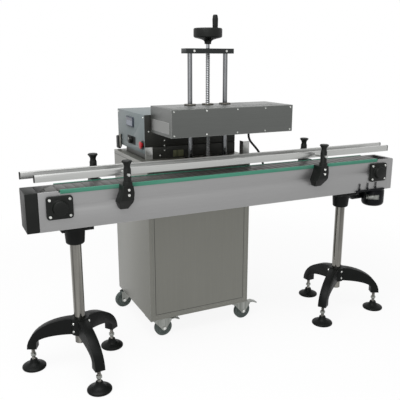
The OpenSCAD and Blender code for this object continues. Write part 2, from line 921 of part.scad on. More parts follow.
module console_base() {
    color(dark) placed() block(console_left + base_inset, console_front_y + base_inset, deck_z,
        console_right - base_inset, console_back - base_back, console_low);
}

// cover open toward the front, with the holes for knob and stop button
module console_cover() {
    color([0.46, 0.5, 0.51]) placed() difference() {
        block(console_left, console_front_y, console_low, console_right, console_back, console_top);
        block(console_left + sheet, console_front_y - 1, console_low + sheet, console_right - sheet,
            console_back - sheet, console_top - sheet);
        bar_x(power_stem_d + 2 * run_fit, console_left - 1, console_left + sheet + 1, power_y, power_z);
        bar_x(stop_stem_d + 2 * air, console_left - 1, console_left + sheet + 1, stop_y, stop_z);
    }
}

module console_front() {
    y0 = console_front_y - front_t;
    color(dark) placed() {
        block(console_left, y0, front_seam + seam_gap, console_right, console_front_y, console_top);
        block(console_left, y0, deck_z, console_right, console_front_y, front_seam);
    }
}

// angle posts at the deck's front corners
module support_posts() {
    left_y = console_front_y - front_t;
    x0 = cab_right - post_w;
    x1 = cab_right - post_set[0];
    post_z = deck_z + right_post_h;
    color(steel) placed() {
        block(console_left, left_y - post_t, deck_z, console_left + post_w, left_y, deck_z + left_post_h);
        block(x0, right_post_y, deck_z, x1, right_post_y + post_t, post_z);
        block(x0, right_post_y + post_t, deck_z, x0 + post_t, right_post_y + post_w, post_z);
    }
}

module panel_meter() {
    color(dark) placed() block(console_left - meter_t, meter_y - meter_w / 2, meter_z - meter_h / 2,
        console_left, meter_y + meter_w / 2, meter_z + meter_h / 2);
}

module power_knob() {
    color(dark) placed() {
        translate([console_left - air, power_y, power_z]) rotate([0, -90, 0])
            cylinder(d1 = power_d, d2 = power_d - power_taper, h = power_t);
        bar_x(power_stem_d, console_left - air - 1, console_left + 2 * sheet, power_y, power_z);
    }
}

module stop_collar() {
    color(dark) placed() difference() {
        bar_x(stop_collar_d, console_left - stop_collar_t, console_left, stop_y, stop_z);
        bar_x(stop_stem_d + 2 * air, console_left - stop_collar_t - 1, console_left + 1, stop_y, stop_z);
    }
}

module stop_button() {
    x1 = console_left - stop_collar_t - stop_stroke - air;
    r = stop_cap_d / 2;
    color([0.7, 0.1, 0.12]) placed() {
        translate([x1, stop_y, stop_z]) rotate([0, -90, 0]) rotate_extrude()
            polygon([[0, 0], [r - stop_round, 0], [r, stop_round], [r, stop_cap_t - stop_round],
                [r - stop_round, stop_cap_t - 1], [0, stop_cap_t]]);
        bar_x(stop_stem_d, x1 - 1, console_left + sheet, stop_y, stop_z);
    }
}

module guide_rods() {
    color(steel) placed() for (s = [-1, 1]) translate([screw_x + s * rod_pitch, rod_y, deck_z])
        cylinder(d = rod_d, h = crossbar_lift + crossbar_t);
}

module rod_bases() {
    color(steel) placed() {
        for (s = [-1, 1]) translate([screw_x + s * rod_pitch, rod_y, deck_z]) difference() {
            cylinder(d = rod_base_d, h = rod_base_h);
            translate([0, 0, -1]) cylinder(d = rod_d, h = rod_base_h + 2);
        }
        translate([screw_x, rod_y, deck_z]) difference() {
            cylinder(d = rod_base_d, h = rod_base_h);
            translate([0, 0, screw_foot]) cylinder(d = screw_d + 2 * run_fit, h = rod_base_h);
        }
    }
}

module crossbar() {
    color(steel) placed() translate([screw_x, rod_y, crossbar_z]) difference() {
        translate([-crossbar_w / 2, -crossbar_d / 2, 0]) cube([crossbar_w, crossbar_d, crossbar_t]);
        for (s = [-1, 1]) translate([s * rod_pitch, 0, -1]) cylinder(d = rod_d, h = crossbar_t + 2);
        translate([0, 0, -1]) cylinder(d = screw_neck_d + 2 * run_fit, h = crossbar_t + 2);
    }
}

module lead_screw() {
    color(steel) placed() translate([screw_x, rod_y, deck_z]) {
        translate([0, 0, screw_foot + air]) cylinder(d = screw_d, h = crossbar_lift - screw_foot - 2 * air);
        translate([0, 0, crossbar_lift - 2 * air])
            cylinder(d = screw_neck_d, h = crossbar_t + hub_gap + wheel_hub_h + 2 * air);
    }
}

// dished wheel on the screw's neck, with a bore for the handle's pin
module handwheel() {
    r = handwheel_d / 2;
    hub = wheel_hub_d / 2;
    inner = r - wheel_rim_t;
    rim_z = wheel_hub_h + wheel_cone_h;
    rim_top = rim_z + wheel_rim_h;
    color(dark) placed() translate([screw_x, rod_y, hub_cone_z]) difference() {
        rotate_extrude() polygon([[0, 0], [hub, 0], [hub, wheel_hub_h], [inner, rim_z],
            [r, rim_z + wheel_round], [r, rim_top - wheel_round], [r - wheel_round, rim_top],
            [inner, rim_top], [inner, rim_top - wheel_dish], [0, rim_top - wheel_dish]]);
        translate([0, 0, -1]) cylinder(d = screw_neck_d, h = wheel_hub_h + 1);
        rotate([0, 0, handle_turn]) translate([handle_r, 0, rim_z + wheel_dish])
            cylinder(d = handle_pin_d + 2 * run_fit, h = wheel_rim_h);
    }
}

module crank_handle() {
    z1 = hub_cone_z + wheel_hub_h + wheel_cone_h + wheel_rim_h - wheel_dish + air;
    r = handle_d / 2;
    pin = handle_pin_d / 2;
    out = [handle_r * cos(handle_turn), handle_r * sin(handle_turn), 0];
    color(dark) placed() translate([screw_x, rod_y, z1] + out)
        rotate_extrude() polygon([[0, -wheel_dish], [pin, -wheel_dish], [pin, 0], [r - handle_round, 0],
            [r - 1, handle_foot], [r, handle_h - 4 * handle_round], [r - 2, handle_h - handle_round],
            [r - handle_round, handle_h], [0, handle_h]]);
}

// shell open at the bottom and the front, with vent slots and bushing holes in its top
module head_shell() {
    x1 = head_left + head_w;
    color(steel) placed() difference() {
        block(head_left, head_front, head_low, x1, head_back, head_high);
        block(head_left + sheet, head_front + sheet, head_low - 1, x1 - sheet, head_back - sheet,
            head_high - sheet);
        block(head_left + frame_w, head_front - 1, head_low + frame_w, x1 - frame_w, head_front + sheet + 1,
            head_high - frame_w);
        for (i = [-1, 0, 1]) translate([screw_x + i * rod_pitch, rod_y, head_high - 2 * sheet])
            cylinder(d = (i == 0 ? screw_d : rod_d) + 2 * bush_wall, h = 3 * sheet);
        for (i = [1:vent_cols]) for (j = [0:vent_rows - 1])
            translate([head_left + i * vent_step, vent_y + j * vent_pitch, head_high - 2 * sheet])
                cube([vent_l, vent_w, 3 * sheet]);
    }
}

module head_front_plate() {
    color([0.45, 0.45, 0.44]) placed() block(head_left + 1, head_front - sheet, head_low + 1,
        head_left + head_w - 1, head_front, head_high - 1);
}

// insulating plate that carries the coil, with the strain relief of the cable
module coil_base() {
    color([0.85, 0.84, 0.8]) placed() difference() {
        block(head_left + sheet, head_front + sheet, head_low, head_left + head_w - sheet, head_back - sheet,
            head_low + coil_base_t);
        for (i = [-1, 0, 1]) translate([screw_x + i * rod_pitch, rod_y, head_low - 1])
            cylinder(d = (i == 0 ? screw_d : rod_d) + 2 * bush_wall, h = coil_base_t + 2);
    }
    color(dark) placed() translate(cable_start) mirror([0, 0, 1]) relief();
}

// oblong winding on the coil base, over the conveyor's centre line
module induction_coil() {
    z0 = head_low + coil_base_t;
    ends = (coil_w - coil_d) / 2;
    color([0.7, 0.42, 0.25]) placed() translate([head_x, 0, z0]) difference() {
        union() {
            for (s = [-1, 1]) translate([s * ends, 0, 0]) cylinder(d = coil_d, h = coil_h);
            block(-ends, -coil_d / 2, 0, ends, coil_d / 2, coil_h);
        }
        for (s = [-1, 1]) translate([s * ends, 0, -1]) cylinder(d = coil_d - 2 * coil_t, h = coil_h + 2);
        block(-ends, -coil_d / 2 + coil_t, -1, ends, coil_d / 2 - coil_t, coil_h + 1);
    }
}

module head_bushings() {
    color([0.5, 0.5, 0.48]) placed() for (i = [-1, 0, 1]) {
        inner = i == 0 ? screw_d : rod_d;
        translate([screw_x + i * rod_pitch, rod_y, head_low]) difference() {
            union() {
                cylinder(d = inner + 2 * bush_wall, h = head_h);
                translate([0, 0, head_h]) cylinder(d = bush_flange_d, h = bush_flange_t);
            }
            translate([0, 0, -1]) cylinder(d = inner + 2 * run_fit, h = head_h + bush_flange_t + 2);
        }
    }
}

// round tube along the points of a path
module tube(path, r, n) {
    last = len(path) - 1;
    dirs = [for (i = [0:last]) unit(path[min(i + 1, last)] - path[max(i - 1, 0)])];
    side = [for (d = dirs) unit(cross(d, [0.05, 1, 0.1]))];
    rings = [for (i = [0:last]) for (k = [0:n - 1])
        path[i] + r * (cos(k * 360 / n) * side[i] + sin(k * 360 / n) * cross(dirs[i], side[i]))];
    walls = [for (i = [0:last - 1]) for (k = [0:n - 1])
        [i * n + k, i * n + (k + 1) % n, (i + 1) * n + (k + 1) % n, (i + 1) * n + k]];
    caps = [[for (k = [n - 1:-1:0]) k], [for (k = [0:n - 1]) last * n + k]];
    polyhedron(rings, concat(walls, caps));
}

module head_cable() {
    color(dark) placed() tube(cable_path, cable_r, cable_sides);
}

front_side_panel();
rear_side_panel();
frame_ties();
wear_strips();
slat_chain();
infeed_cover();
outfeed_cover();
bearing_units();
drive_shaft();
drive_sprocket();
idler_shaft();
idler_sprocket();
drive_motor();
drive_guard();
rail_brackets();
front_rail();
rear_rail();
knob_front_left();
knob_front_right();
knob_rear_left();
knob_rear_right();
stand_heads();
stand_tubes();
tripod_bases();
foot_spindles();
foot_pads();
cabinet_shell();
cabinet_front_panel();
cable_gland();
caster_plates();
fork_front_left();
fork_front_right();
fork_rear_left();
fork_rear_right();
wheel_front_left();
wheel_front_right();
wheel_rear_left();
wheel_rear_right();
pedal_front_left();
pedal_front_right();
console_base();
console_cover();
console_front();
support_posts();
panel_meter();
power_knob();
stop_collar();
stop_button();
guide_rods();
rod_bases();
crossbar();
lead_screw();
handwheel();
crank_handle();
head_shell();
head_front_plate();
coil_base();
induction_coil();
head_bushings();
head_cable();
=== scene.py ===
import json
import math

import bmesh
import bpy
import numpy as np
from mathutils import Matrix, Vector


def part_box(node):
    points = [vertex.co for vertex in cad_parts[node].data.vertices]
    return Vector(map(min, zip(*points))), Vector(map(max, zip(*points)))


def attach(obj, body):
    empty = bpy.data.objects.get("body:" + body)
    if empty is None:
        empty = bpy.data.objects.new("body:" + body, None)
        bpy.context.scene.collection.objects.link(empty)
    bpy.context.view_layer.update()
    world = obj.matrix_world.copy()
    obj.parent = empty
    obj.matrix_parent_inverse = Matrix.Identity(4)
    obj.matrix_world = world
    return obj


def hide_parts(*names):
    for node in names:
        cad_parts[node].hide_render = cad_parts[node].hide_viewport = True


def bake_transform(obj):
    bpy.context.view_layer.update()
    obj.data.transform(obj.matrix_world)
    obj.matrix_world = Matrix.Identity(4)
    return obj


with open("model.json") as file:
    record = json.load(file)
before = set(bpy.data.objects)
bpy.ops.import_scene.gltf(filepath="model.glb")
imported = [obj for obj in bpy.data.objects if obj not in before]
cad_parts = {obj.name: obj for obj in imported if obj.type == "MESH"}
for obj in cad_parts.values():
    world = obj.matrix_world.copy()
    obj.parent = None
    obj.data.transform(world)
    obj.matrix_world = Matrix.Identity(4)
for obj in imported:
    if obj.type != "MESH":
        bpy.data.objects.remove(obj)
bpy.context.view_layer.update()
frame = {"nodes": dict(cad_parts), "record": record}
nodes = frame["nodes"]
scene = bpy.context.scene
bodyOf = {n: b for b, members in frame["record"]["behaviour"]["bodies"].items() for n in members}
print("frame:", len(nodes), "nodes")


def boxOf(node):  # lowest and highest corner as arrays
    low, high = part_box(node)
    return np.array(low), np.array(high)


frontLow, frontHigh = boxOf("front_side_panel")
rearHigh = boxOf("rear_side_panel")[1]
conveyorMid = np.array([(frontLow[0] + frontHigh[0]) / 2, (frontLow[1] + rearHigh[1]) / 2, 0.0])
mm = 0.001

# camera

cameraFit = {
    "fromConveyor": (-1.249, -2.236, 1.328),
    "yaw": 25.753,
    "pitch": 14.198,
    "focalPixels": 560.0,
    "imagePixels": 400.0,
    "sensor": 36.0,
}
cameraData = bpy.data.cameras.new("camera")
cameraData.sensor_width = cameraFit["sensor"]
cameraData.lens = cameraFit["sensor"] * cameraFit["focalPixels"] / cameraFit["imagePixels"]
camera = bpy.data.objects.new("camera", cameraData)
scene.collection.objects.link(camera)
camera.location = conveyorMid + np.array(cameraFit["fromConveyor"])
camera.rotation_euler = (math.radians(90 - cameraFit["pitch"]), 0, -math.radians(cameraFit["yaw"]))
scene.camera = camera
print("camera at", [round(v, 3) for v in camera.location])

# shader sockets as numbers


class Wire:  # a socket that takes part in sums
    def __init__(self, paint, socket):
        self.paint, self.socket = paint, socket

    def calc(self, operation, a, b=0.0):
        return self.paint.node("ShaderNodeMath", {"operation": operation}, {0: a, 1: b})

    def __add__(self, other):
        return self.calc("ADD", self, other)

    __radd__ = __add__

    def __sub__(self, other):
        return self.calc("SUBTRACT", self, other)

    def __rsub__(self, other):
        return self.calc("SUBTRACT", other, self)

    def __mul__(self, other):
        return self.calc("MULTIPLY", self, other)

    __rmul__ = __mul__

    def __pow__(self, other):
        return self.calc("POWER", self, other)

    def clamp(self):
        return self.paint.node("ShaderNodeClamp", {}, {0: self})


class Paint:  # one material, its principled shader and its nodes
    def __init__(self, name, **constants):
        self.material = bpy.data.materials.new(name)
        self.material.use_nodes = True
        self.tree = self.material.node_tree
        self.shader = self.tree.nodes["Principled BSDF"]
        for socket, value in constants.items():
            self.shader.inputs[socket.replace("_", " ")].default_value = value

    def node(self, kind, settings, inputs, out=0):
        made = self.tree.nodes.new(kind)
        for key, value in settings.items():
            setattr(made, key, value)
        for key, value in inputs.items():
            if isinstance(value, Wire):
                self.tree.links.new(value.socket, made.inputs[key])
            else:
                made.inputs[key].default_value = value
        return Wire(self, made.outputs[out])

    def place(self, stretch=(1, 1, 1)):  # object coordinates, stretched
        coords = self.node("ShaderNodeTexCoord", {}, {}, "Object")
        return self.node("ShaderNodeMapping", {}, {"Vector": coords, "Scale": stretch})

    def noise(self, scale, detail=4.0, rough=0.55, stretch=(1, 1, 1)):
        inputs = {"Vector": self.place(stretch), "Scale": scale, "Detail": detail, "Roughness": rough}
        return self.node("ShaderNodeTexNoise", {}, inputs)

    def axis(self, name):  # one object coordinate, in metres
        coords = self.node("ShaderNodeTexCoord", {}, {}, "Object")
        return self.node("ShaderNodeSeparateXYZ", {}, {"Vector": coords}, name)

    def band(self, value, low, high, soft):  # 1 between low and high, with soft edges
        rise = self.node("ShaderNodeMapRange", {"interpolation_type": "SMOOTHSTEP"},
                         {0: value, 1: low - soft, 2: low + soft})
        fall = self.node("ShaderNodeMapRange", {"interpolation_type": "SMOOTHSTEP"},
                         {0: value, 1: high - soft, 2: high + soft})
        return rise * (1 - fall)

    def mix(self, factor, a, b):
        return self.node("ShaderNodeMix", {"data_type": "RGBA"}, {0: factor, 6: a, 7: b}, 2)

    def edge(self, distance, sharp=2.0):  # mask of edges that stick out: rubbed wear on paint and plastic, a painted highlight on brushed steel
        pointy = self.node("ShaderNodeBevel", {"samples": 4}, {"Radius": distance})
        plain = self.node("ShaderNodeNewGeometry", {}, {}, "Normal")
        turned = self.node("ShaderNodeVectorMath", {"operation": "DOT_PRODUCT"},
                           {0: pointy, 1: plain}, "Value")
        return ((1 - turned) * sharp).clamp()

    def feed(self, socket, wire):
        self.tree.links.new(wire.socket, self.shader.inputs[socket])

    def bump(self, height, strength, distance):
        inputs = {"Height": height, "Strength": strength, "Distance": distance}
        self.feed("Normal", self.node("ShaderNodeBump", {}, inputs))


def tone(r, g, b):  # display colour 0-255 to the linear colour that shaders use
    values = np.array([r, g, b]) / 255
    linear = np.where(values <= 0.04045, values / 12.92, ((values + 0.055) / 1.055) ** 2.4)
    return (*[float(v) for v in linear], 1.0)


# finishes


def brushedSteel(name, shade, deep, grain, rough=0.34, metal=0.75, bright=0.8):
    # long fine streaks along one axis, faint smears, and a painted highlight: edges that stick out are mixed
    # towards a pale tone
    paint = Paint(name, Metallic=metal)
    streaks = paint.noise(9.0, 6.0, 0.7, grain)
    fine = paint.noise(60.0, 3.0, 0.6, grain)
    smears = paint.noise(3.2, 3.0, 0.5)
    blend = (streaks * 0.55 + fine * 0.25 + smears * 0.35 - 0.08).clamp()
    # painted highlight: edges that stick out are lightened to stand in for light caught on them; bright sets
    # its strength
    paintedEdgeHighlight = paint.edge(0.0025, 3.0) * bright
    paint.feed("Base Color", paint.mix(paintedEdgeHighlight, paint.mix(blend, deep, shade), tone(214, 215, 213)))
    paint.feed("Roughness", (streaks * 0.16 + smears * 0.12 + (rough - 0.14)).clamp())
    paint.bump(fine, 0.12, 0.0004)
    return paint.material


def polishedSteel(name, shade, deep, rough=0.16):
    # drawn bright bar: long streaks along Z, part die marks and part painted reflection (dark and bright
    # bands, strong where the deep tone is near black), and a cloudy film
    paint = Paint(name, Metallic=0.95)
    dieMarksAndReflection = paint.noise(70.0, 2.0, 0.5, (1.0, 1.0, 0.01))
    cloud = paint.noise(7.0, 3.0)
    paint.feed("Base Color", paint.mix((cloud * 0.3 + (dieMarksAndReflection - 0.5) * 2.2 + 0.35).clamp(), deep, shade))
    paint.feed("Roughness", (dieMarksAndReflection * 0.06 + cloud * 0.1 + (rough - 0.08)).clamp())
    paint.bump(dieMarksAndReflection, 0.02, 0.0001)
    return paint.material


def mouldedPlastic(name, shade, worn, rough=0.46, grain=900.0, strength=0.14, gloss=0.2):
    # spark-eroded mould grain, dusty patches and paler rubbed edges
    paint = Paint(name, Specular_IOR_Level=gloss)
    dust = paint.noise(11.0, 5.0, 0.6)
    pits = paint.noise(grain, 2.0, 0.5)
    rubbed = paint.edge(0.003, 3.0) * paint.noise(45.0, 3.0) * 1.2
    mixed = (rubbed + (dust - 0.45) * 0.5).clamp()
    paint.feed("Base Color", paint.mix(mixed, shade, worn))
    paint.feed("Roughness", (dust * 0.2 + pits * 0.1 + (rough - 0.14)).clamp())
    paint.bump(pits, strength, 0.0004)
    return paint.material


def sprayPaint(name, shade, worn, rough=0.4, peel=240.0, strength=0.1, gloss=0.5):
    # stoved paint with orange peel, slight mottling and rubbed edges
    paint = Paint(name, Specular_IOR_Level=gloss)
    mottle = paint.noise(6.0, 4.0)
    skin = paint.noise(peel, 2.0, 0.4)
    rubbed = paint.edge(0.003, 2.5) * paint.noise(30.0, 4.0)
    paint.feed("Base Color", paint.mix(((mottle - 0.4) * 0.45 + rubbed).clamp(), shade, worn))
    paint.feed("Roughness", (mottle * 0.14 + (rough - 0.07)).clamp())
    paint.bump(skin, strength, 0.0005)
    return paint.material


def slatFinish(name):
    # acetal slats, polished in streaks where containers slide along X
    paint = Paint(name, Specular_IOR_Level=0.4)
    streaks = paint.noise(14.0, 5.0, 0.65, (0.25, 6.0, 1.0))
    dirt = paint.noise(9.0, 4.0)
    worn = (streaks * 0.8 + dirt * 0.3 - 0.15).clamp()
    paint.feed("Base Color", paint.mix(worn, tone(58, 58, 56), tone(92, 92, 90)))
    paint.feed("Roughness", (0.62 - streaks * 0.32).clamp())
    paint.bump(paint.noise(700.0, 2.0), 0.08, 0.0003)
    return paint.material


def wearStripFinish(name):
    # green low-friction strip with long draw marks and a little gray dust
    paint = Paint(name, Specular_IOR_Level=0.35)
    marks = paint.noise(20.0, 5.0, 0.6, (0.3, 5.0, 5.0))
    dust = paint.noise(13.0, 5.0)
    shade = paint.mix((marks * 0.7 + 0.1).clamp(), tone(44, 110, 90), tone(78, 148, 124))
    paint.feed("Base Color", paint.mix(((dust - 0.52) * 1.6).clamp(), shade, tone(112, 132, 124)))
    paint.feed("Roughness", (0.38 + dust * 0.25).clamp())
    paint.bump(marks, 0.1, 0.0003)
    return paint.material


def tyreFinish(name):
    # gray-green rubber tread with road dust
    paint = Paint(name, Specular_IOR_Level=0.25)
    dust = paint.noise(38.0, 5.0, 0.6)
    paint.feed("Base Color", paint.mix(dust, tone(58, 66, 64), tone(100, 108, 105)))
    paint.feed("Roughness", (0.62 + dust * 0.25).clamp())
    paint.bump(paint.noise(420.0, 3.0), 0.2, 0.0006)
    return paint.material


def copperFinish(name):
    # enamelled wire wound along the coil: fine parallel turns
    paint = Paint(name, Metallic=0.9, Coat_Weight=0.5, Coat_Roughness=0.15)
    turns = paint.node("ShaderNodeTexWave", {"bands_direction": "Z"},
                       {"Vector": paint.place(), "Scale": 160.0})
    tint = paint.noise(25.0, 3.0)
    paint.feed("Base Color", paint.mix(tint, tone(128, 70, 40), tone(206, 128, 84)))
    paint.feed("Roughness", (0.22 + tint * 0.2).clamp())
    paint.bump(turns, 0.5, 0.001)
    return paint.material


def laminateFinish(name, shade, deep):
    # pressed resin sheet: pale with fine fibres; the strain relief below it is black rubber
    paint = Paint(name, Specular_IOR_Level=0.4)
    fibres = paint.noise(30.0, 6.0, 0.7, (1.0, 14.0, 1.0))
    rubber = paint.band(paint.axis("Z"), -1.0, boxOf("head_shell")[0][2] - 0.4 * mm, 0.1 * mm)
    paint.feed("Base Color", paint.mix(rubber, paint.mix(fibres, deep, shade), tone(24, 24, 24)))
    paint.feed("Roughness", (0.4 + fibres * 0.2).clamp())
    paint.bump(fibres, 0.08, 0.0003)
    return paint.material


def glassWindow(name):
    # smoky display window, dark band on top and a cool lower field
    paint = Paint(name, Coat_Weight=0.25, Coat_Roughness=0.1, Specular_IOR_Level=0.3)
    height = paint.axis("Z")
    low, high = boxOf("panel_meter")
    upper = paint.band(height, low[2] + 0.62 * (high[2] - low[2]), high[2] + 1.0, 0.0015)
    film = paint.noise(24.0, 4.0)
    field = paint.mix(film, tone(80, 88, 102), tone(100, 108, 122))
    paint.feed("Base Color", paint.mix(upper, field, tone(50, 54, 70)))
    paint.feed("Roughness", (0.16 + film * 0.14).clamp())
    return paint.material


steelAlongX = brushedSteel("steelAlongX", tone(158, 158, 158), tone(141, 141, 141), (0.35, 14.0, 14.0), 0.42)
steelUpright = brushedSteel("steelUpright", tone(128, 128, 122), tone(110, 110, 104), (14.0, 14.0, 0.3))
steelDoor = brushedSteel("steelDoor", tone(128, 128, 122), tone(110, 110, 104), (14.0, 14.0, 0.3), bright=0.0)
steelHead = brushedSteel("steelHead", tone(102, 104, 102), tone(84, 86, 84), (0.35, 14.0, 14.0))
railSteel = brushedSteel("railSteel", tone(192, 193, 191), tone(164, 165, 163), (0.3, 16.0, 16.0), 0.3)
finishes = {
    "brushed_panel": steelAlongX,
    # painted reflection: the near-black deep tone turns the streaks into dark and bright reflection bands
    "bright_steel": polishedSteel("brightBar", tone(162, 160, 154), tone(56, 55, 52), 0.1),
    "zinc_steel": polishedSteel("zincPlate", tone(156, 158, 154), tone(108, 111, 106), 0.3),
    "rail_steel": railSteel,
    "black_plastic": mouldedPlastic("blackMould", tone(15, 17, 15), tone(44, 47, 44)),
    "black_paint": sprayPaint("blackStove", tone(15, 17, 17), tone(42, 44, 43), 0.38, gloss=0.22),
    "slat_plastic": slatFinish("slatAcetal"),
    "wear_green": wearStripFinish("greenStrip"),
    "tyre_gray": tyreFinish("casterTread"),
    "console_gray": sprayPaint("consolePaint", tone(96, 105, 106), tone(120, 128, 129), 0.42, 180.0, 0.16),
    "red_plastic": mouldedPlastic("redButton", tone(158, 22, 30), tone(192, 72, 74), 0.3, 500.0, 0.05, 0.4),
    "coil_resin": laminateFinish("coilLaminate", tone(222, 218, 204), tone(186, 180, 164)),
    "copper": copperFinish("coilWire"),
    "bronze": polishedSteel("bushBronze", tone(112, 109, 102), tone(84, 82, 76), 0.34),
    "cable_rubber": mouldedPlastic("cableRubber", tone(22, 22, 22), tone(58, 58, 57), 0.5, 600.0, 0.2),
}
motorPaint = sprayPaint("motorPaint", tone(6, 8, 12), tone(24, 27, 34), 0.34, 300.0, gloss=0.12)
barPaint = sprayPaint("barPaint", tone(32, 35, 35), tone(62, 65, 65), 0.36, gloss=0.24)
standMould = mouldedPlastic("standMould", tone(5, 7, 6), tone(30, 33, 31), gloss=0.14)
# painted light: lighter than the black paint elsewhere, offsetting the head's shadow over the console front
# and base
consoleBlack = sprayPaint("consoleBlack", tone(43, 44, 41), tone(70, 71, 67), gloss=0.24)
# painted reflection: the near-black deep tone turns the rod streaks into dark and bright reflection bands
chromeRod = polishedSteel("chromeRod", tone(168, 170, 172), tone(38, 40, 43), 0.1)
blankPlate = brushedSteel("blankPlate", tone(134, 135, 133), tone(112, 113, 111), (10.0, 0.4, 10.0), 0.3)
screwZinc = polishedSteel("screwZinc", tone(226, 227, 224), tone(176, 178, 174), 0.24)
# painted light: toned up to offset the shade the console's front plate sits in
oliveZinc = polishedSteel("oliveZinc", tone(142, 144, 116), tone(98, 101, 78), 0.34)
meterGlass = glassWindow("meterGlass")
meterCase = mouldedPlastic("meterCase", tone(54, 60, 70), tone(84, 90, 100))
whitePrint = Paint("whitePrint", Base_Color=tone(206, 208, 204), Roughness=0.5).material
deepShade = mouldedPlastic("deepShade", tone(14, 15, 15), tone(30, 31, 31), 0.6)
print("finishes:", len(finishes))

# meshes from arrays

meshing = {"sharpFrom": 35, "bevelFrom": 34, "flatWithin": 0.6, "weld": 1e-5}  # degrees, and metres to weld
plateRim = {"inner": 1.2, "side": 0.75, "soft": 0.16, "most": 0.2}  # of the thickness; most is of the size


def gridPiece(name, points, material, closeU=False, closeV=False, capStart=False, capEnd=False):
    # points[u, v] is a grid; rows join in u, columns in v, and the ends can be capped with a fan
    rows, cols = points.shape[:2]
    index = np.arange(rows * cols).reshape(rows, cols)
    a = index if closeU else index[:-1]
    b = np.roll(index, -1, 0) if closeU else index[1:]
    if not closeV:
        quads = np.stack([a[:, :-1], b[:, :-1], b[:, 1:], a[:, 1:]], -1).reshape(-1, 4)
    else:
        quads = np.stack([a, b, np.roll(b, -1, 1), np.roll(a, -1, 1)], -1).reshape(-1, 4)
    faces = quads.tolist()
    if capStart:
        faces.append(index[0].tolist())
    if capEnd:
        faces.append(index[-1][::-1].tolist())
    return meshPiece(name, points.reshape(-1, 3), faces, material)


def meshPiece(name, points, faces, material):
    mesh = bpy.data.meshes.new(name)
    mesh.from_pydata(np.asarray(points).tolist(), [], faces)
    mesh.polygons.foreach_set("use_smooth", np.ones(len(mesh.polygons), bool))
    mesh.set_sharp_from_angle(angle=math.radians(meshing["sharpFrom"]))
    mesh.materials.append(material)
    piece = bpy.data.objects.new(name, mesh)
    scene.collection.objects.link(piece)
    return piece


def facing(axis):  # three columns that carry +Z onto axis
    w = np.asarray(axis, float) / np.linalg.norm(axis)
    helper = np.array([0.0, 0.0, 1.0]) if abs(w[2]) < 0.9 else np.array([1.0, 0.0, 0.0])
    u = np.cross(helper, w)
    u /= np.linalg.norm(u)
    return np.stack([u, np.cross(w, u), w], 1)


def lathePoints(profile, sides, shape=None):
    # profile (radius, height) carried round the axis; shape(angle, row) can change the radius
    angle = np.linspace(0, 2 * math.pi, sides, endpoint=False)
    radius = np.asarray(profile)[:, :1] * np.ones((1, sides))
    if shape is not None:
        radius = shape(radius, angle)
    height = np.asarray(profile)[:, 1:] * np.ones((1, sides))
    return np.stack([radius * np.cos(angle), radius * np.sin(angle), height], -1)


def repeatGrid(name, base, places, material):
    # the same closed grid at many places: each place is (centre, axis)
    rows, cols = base.shape[:2]
    index = np.arange(rows * cols).reshape(rows, cols)
    a, b = index[:-1], index[1:]
    quads = np.stack([a, np.roll(a, -1, 1), np.roll(b, -1, 1), b], -1).reshape(-1, 4)
    points, faces = [], []
    for k, (centre, axis) in enumerate(places):
        points.append(base.reshape(-1, 3) @ facing(axis).T + np.asarray(centre))
        faces += (quads + k * rows * cols).tolist()
        faces.append((index[0][::-1] + k * rows * cols).tolist())
        faces.append((index[-1] + k * rows * cols).tolist())
    return meshPiece(name, np.concatenate(points), faces, material)


def repeatLathe(name, profile, sides, places, material, shape=None):
    return repeatGrid(name, lathePoints(profile, sides, shape), places, material)


def hexRing(rowsFrom, rowsTo):  # makes these rows of a turned shape hexagonal
    def shape(radius, angle):
        corner = np.cos(math.pi / 6) / np.cos((angle % (math.pi / 3)) - math.pi / 6)
        radius[rowsFrom:rowsTo] *= corner
        return radius
    return shape


def roundedBar(centre, half, radius, steps=6):
    # closed outline of a rounded rectangle, half sizes given, as points in two axes
    angle = np.linspace(0, math.pi / 2, steps)
    quarter = np.stack([np.cos(angle), np.sin(angle)], 1) * radius
    spots = []
    for sx, sy, turn in ((1, 1, 0), (-1, 1, 1), (-1, -1, 2), (1, -1, 3)):
        c, s = math.cos(turn * math.pi / 2), math.sin(turn * math.pi / 2)
        corner = [sx * (half[0] - radius), sy * (half[1] - radius)]
        spots.append(quarter @ np.array([[c, s], [-s, c]]) + corner)
    return np.concatenate(spots) + np.asarray(centre)


def steppedPlate(name, centre, normal, size, rows, radius, material, ring=False):
    # rounded rectangles stacked into one skin, or closed to a ring: each row is (inset from the rim, height)
    outlines = []
    for inset, height in rows:
        edge = roundedBar((0, 0), (size[0] / 2 - inset, size[1] / 2 - inset), radius)
        outlines.append(np.column_stack([edge, np.full(len(edge), height)]))
    points = np.stack(outlines) @ facing(normal).T + np.asarray(centre)
    return gridPiece(name, points[:, ::-1], material, ring, True, not ring, not ring)


def plateOn(name, centre, normal, size, thick, radius, material):
    # thin plate with rounded corners and a soft rim, lying on a face
    inner = min(plateRim["inner"] * thick, plateRim["most"] * min(size))
    soft = min(plateRim["soft"] * thick, inner / 2)
    rows = ((0, 0), (0, plateRim["side"] * thick), (soft, thick), (inner, thick))
    return steppedPlate(name, centre, normal, size, rows, radius, material)


def onBody(piece, body):
    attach(piece, body)
    return piece


# solids with softened edges

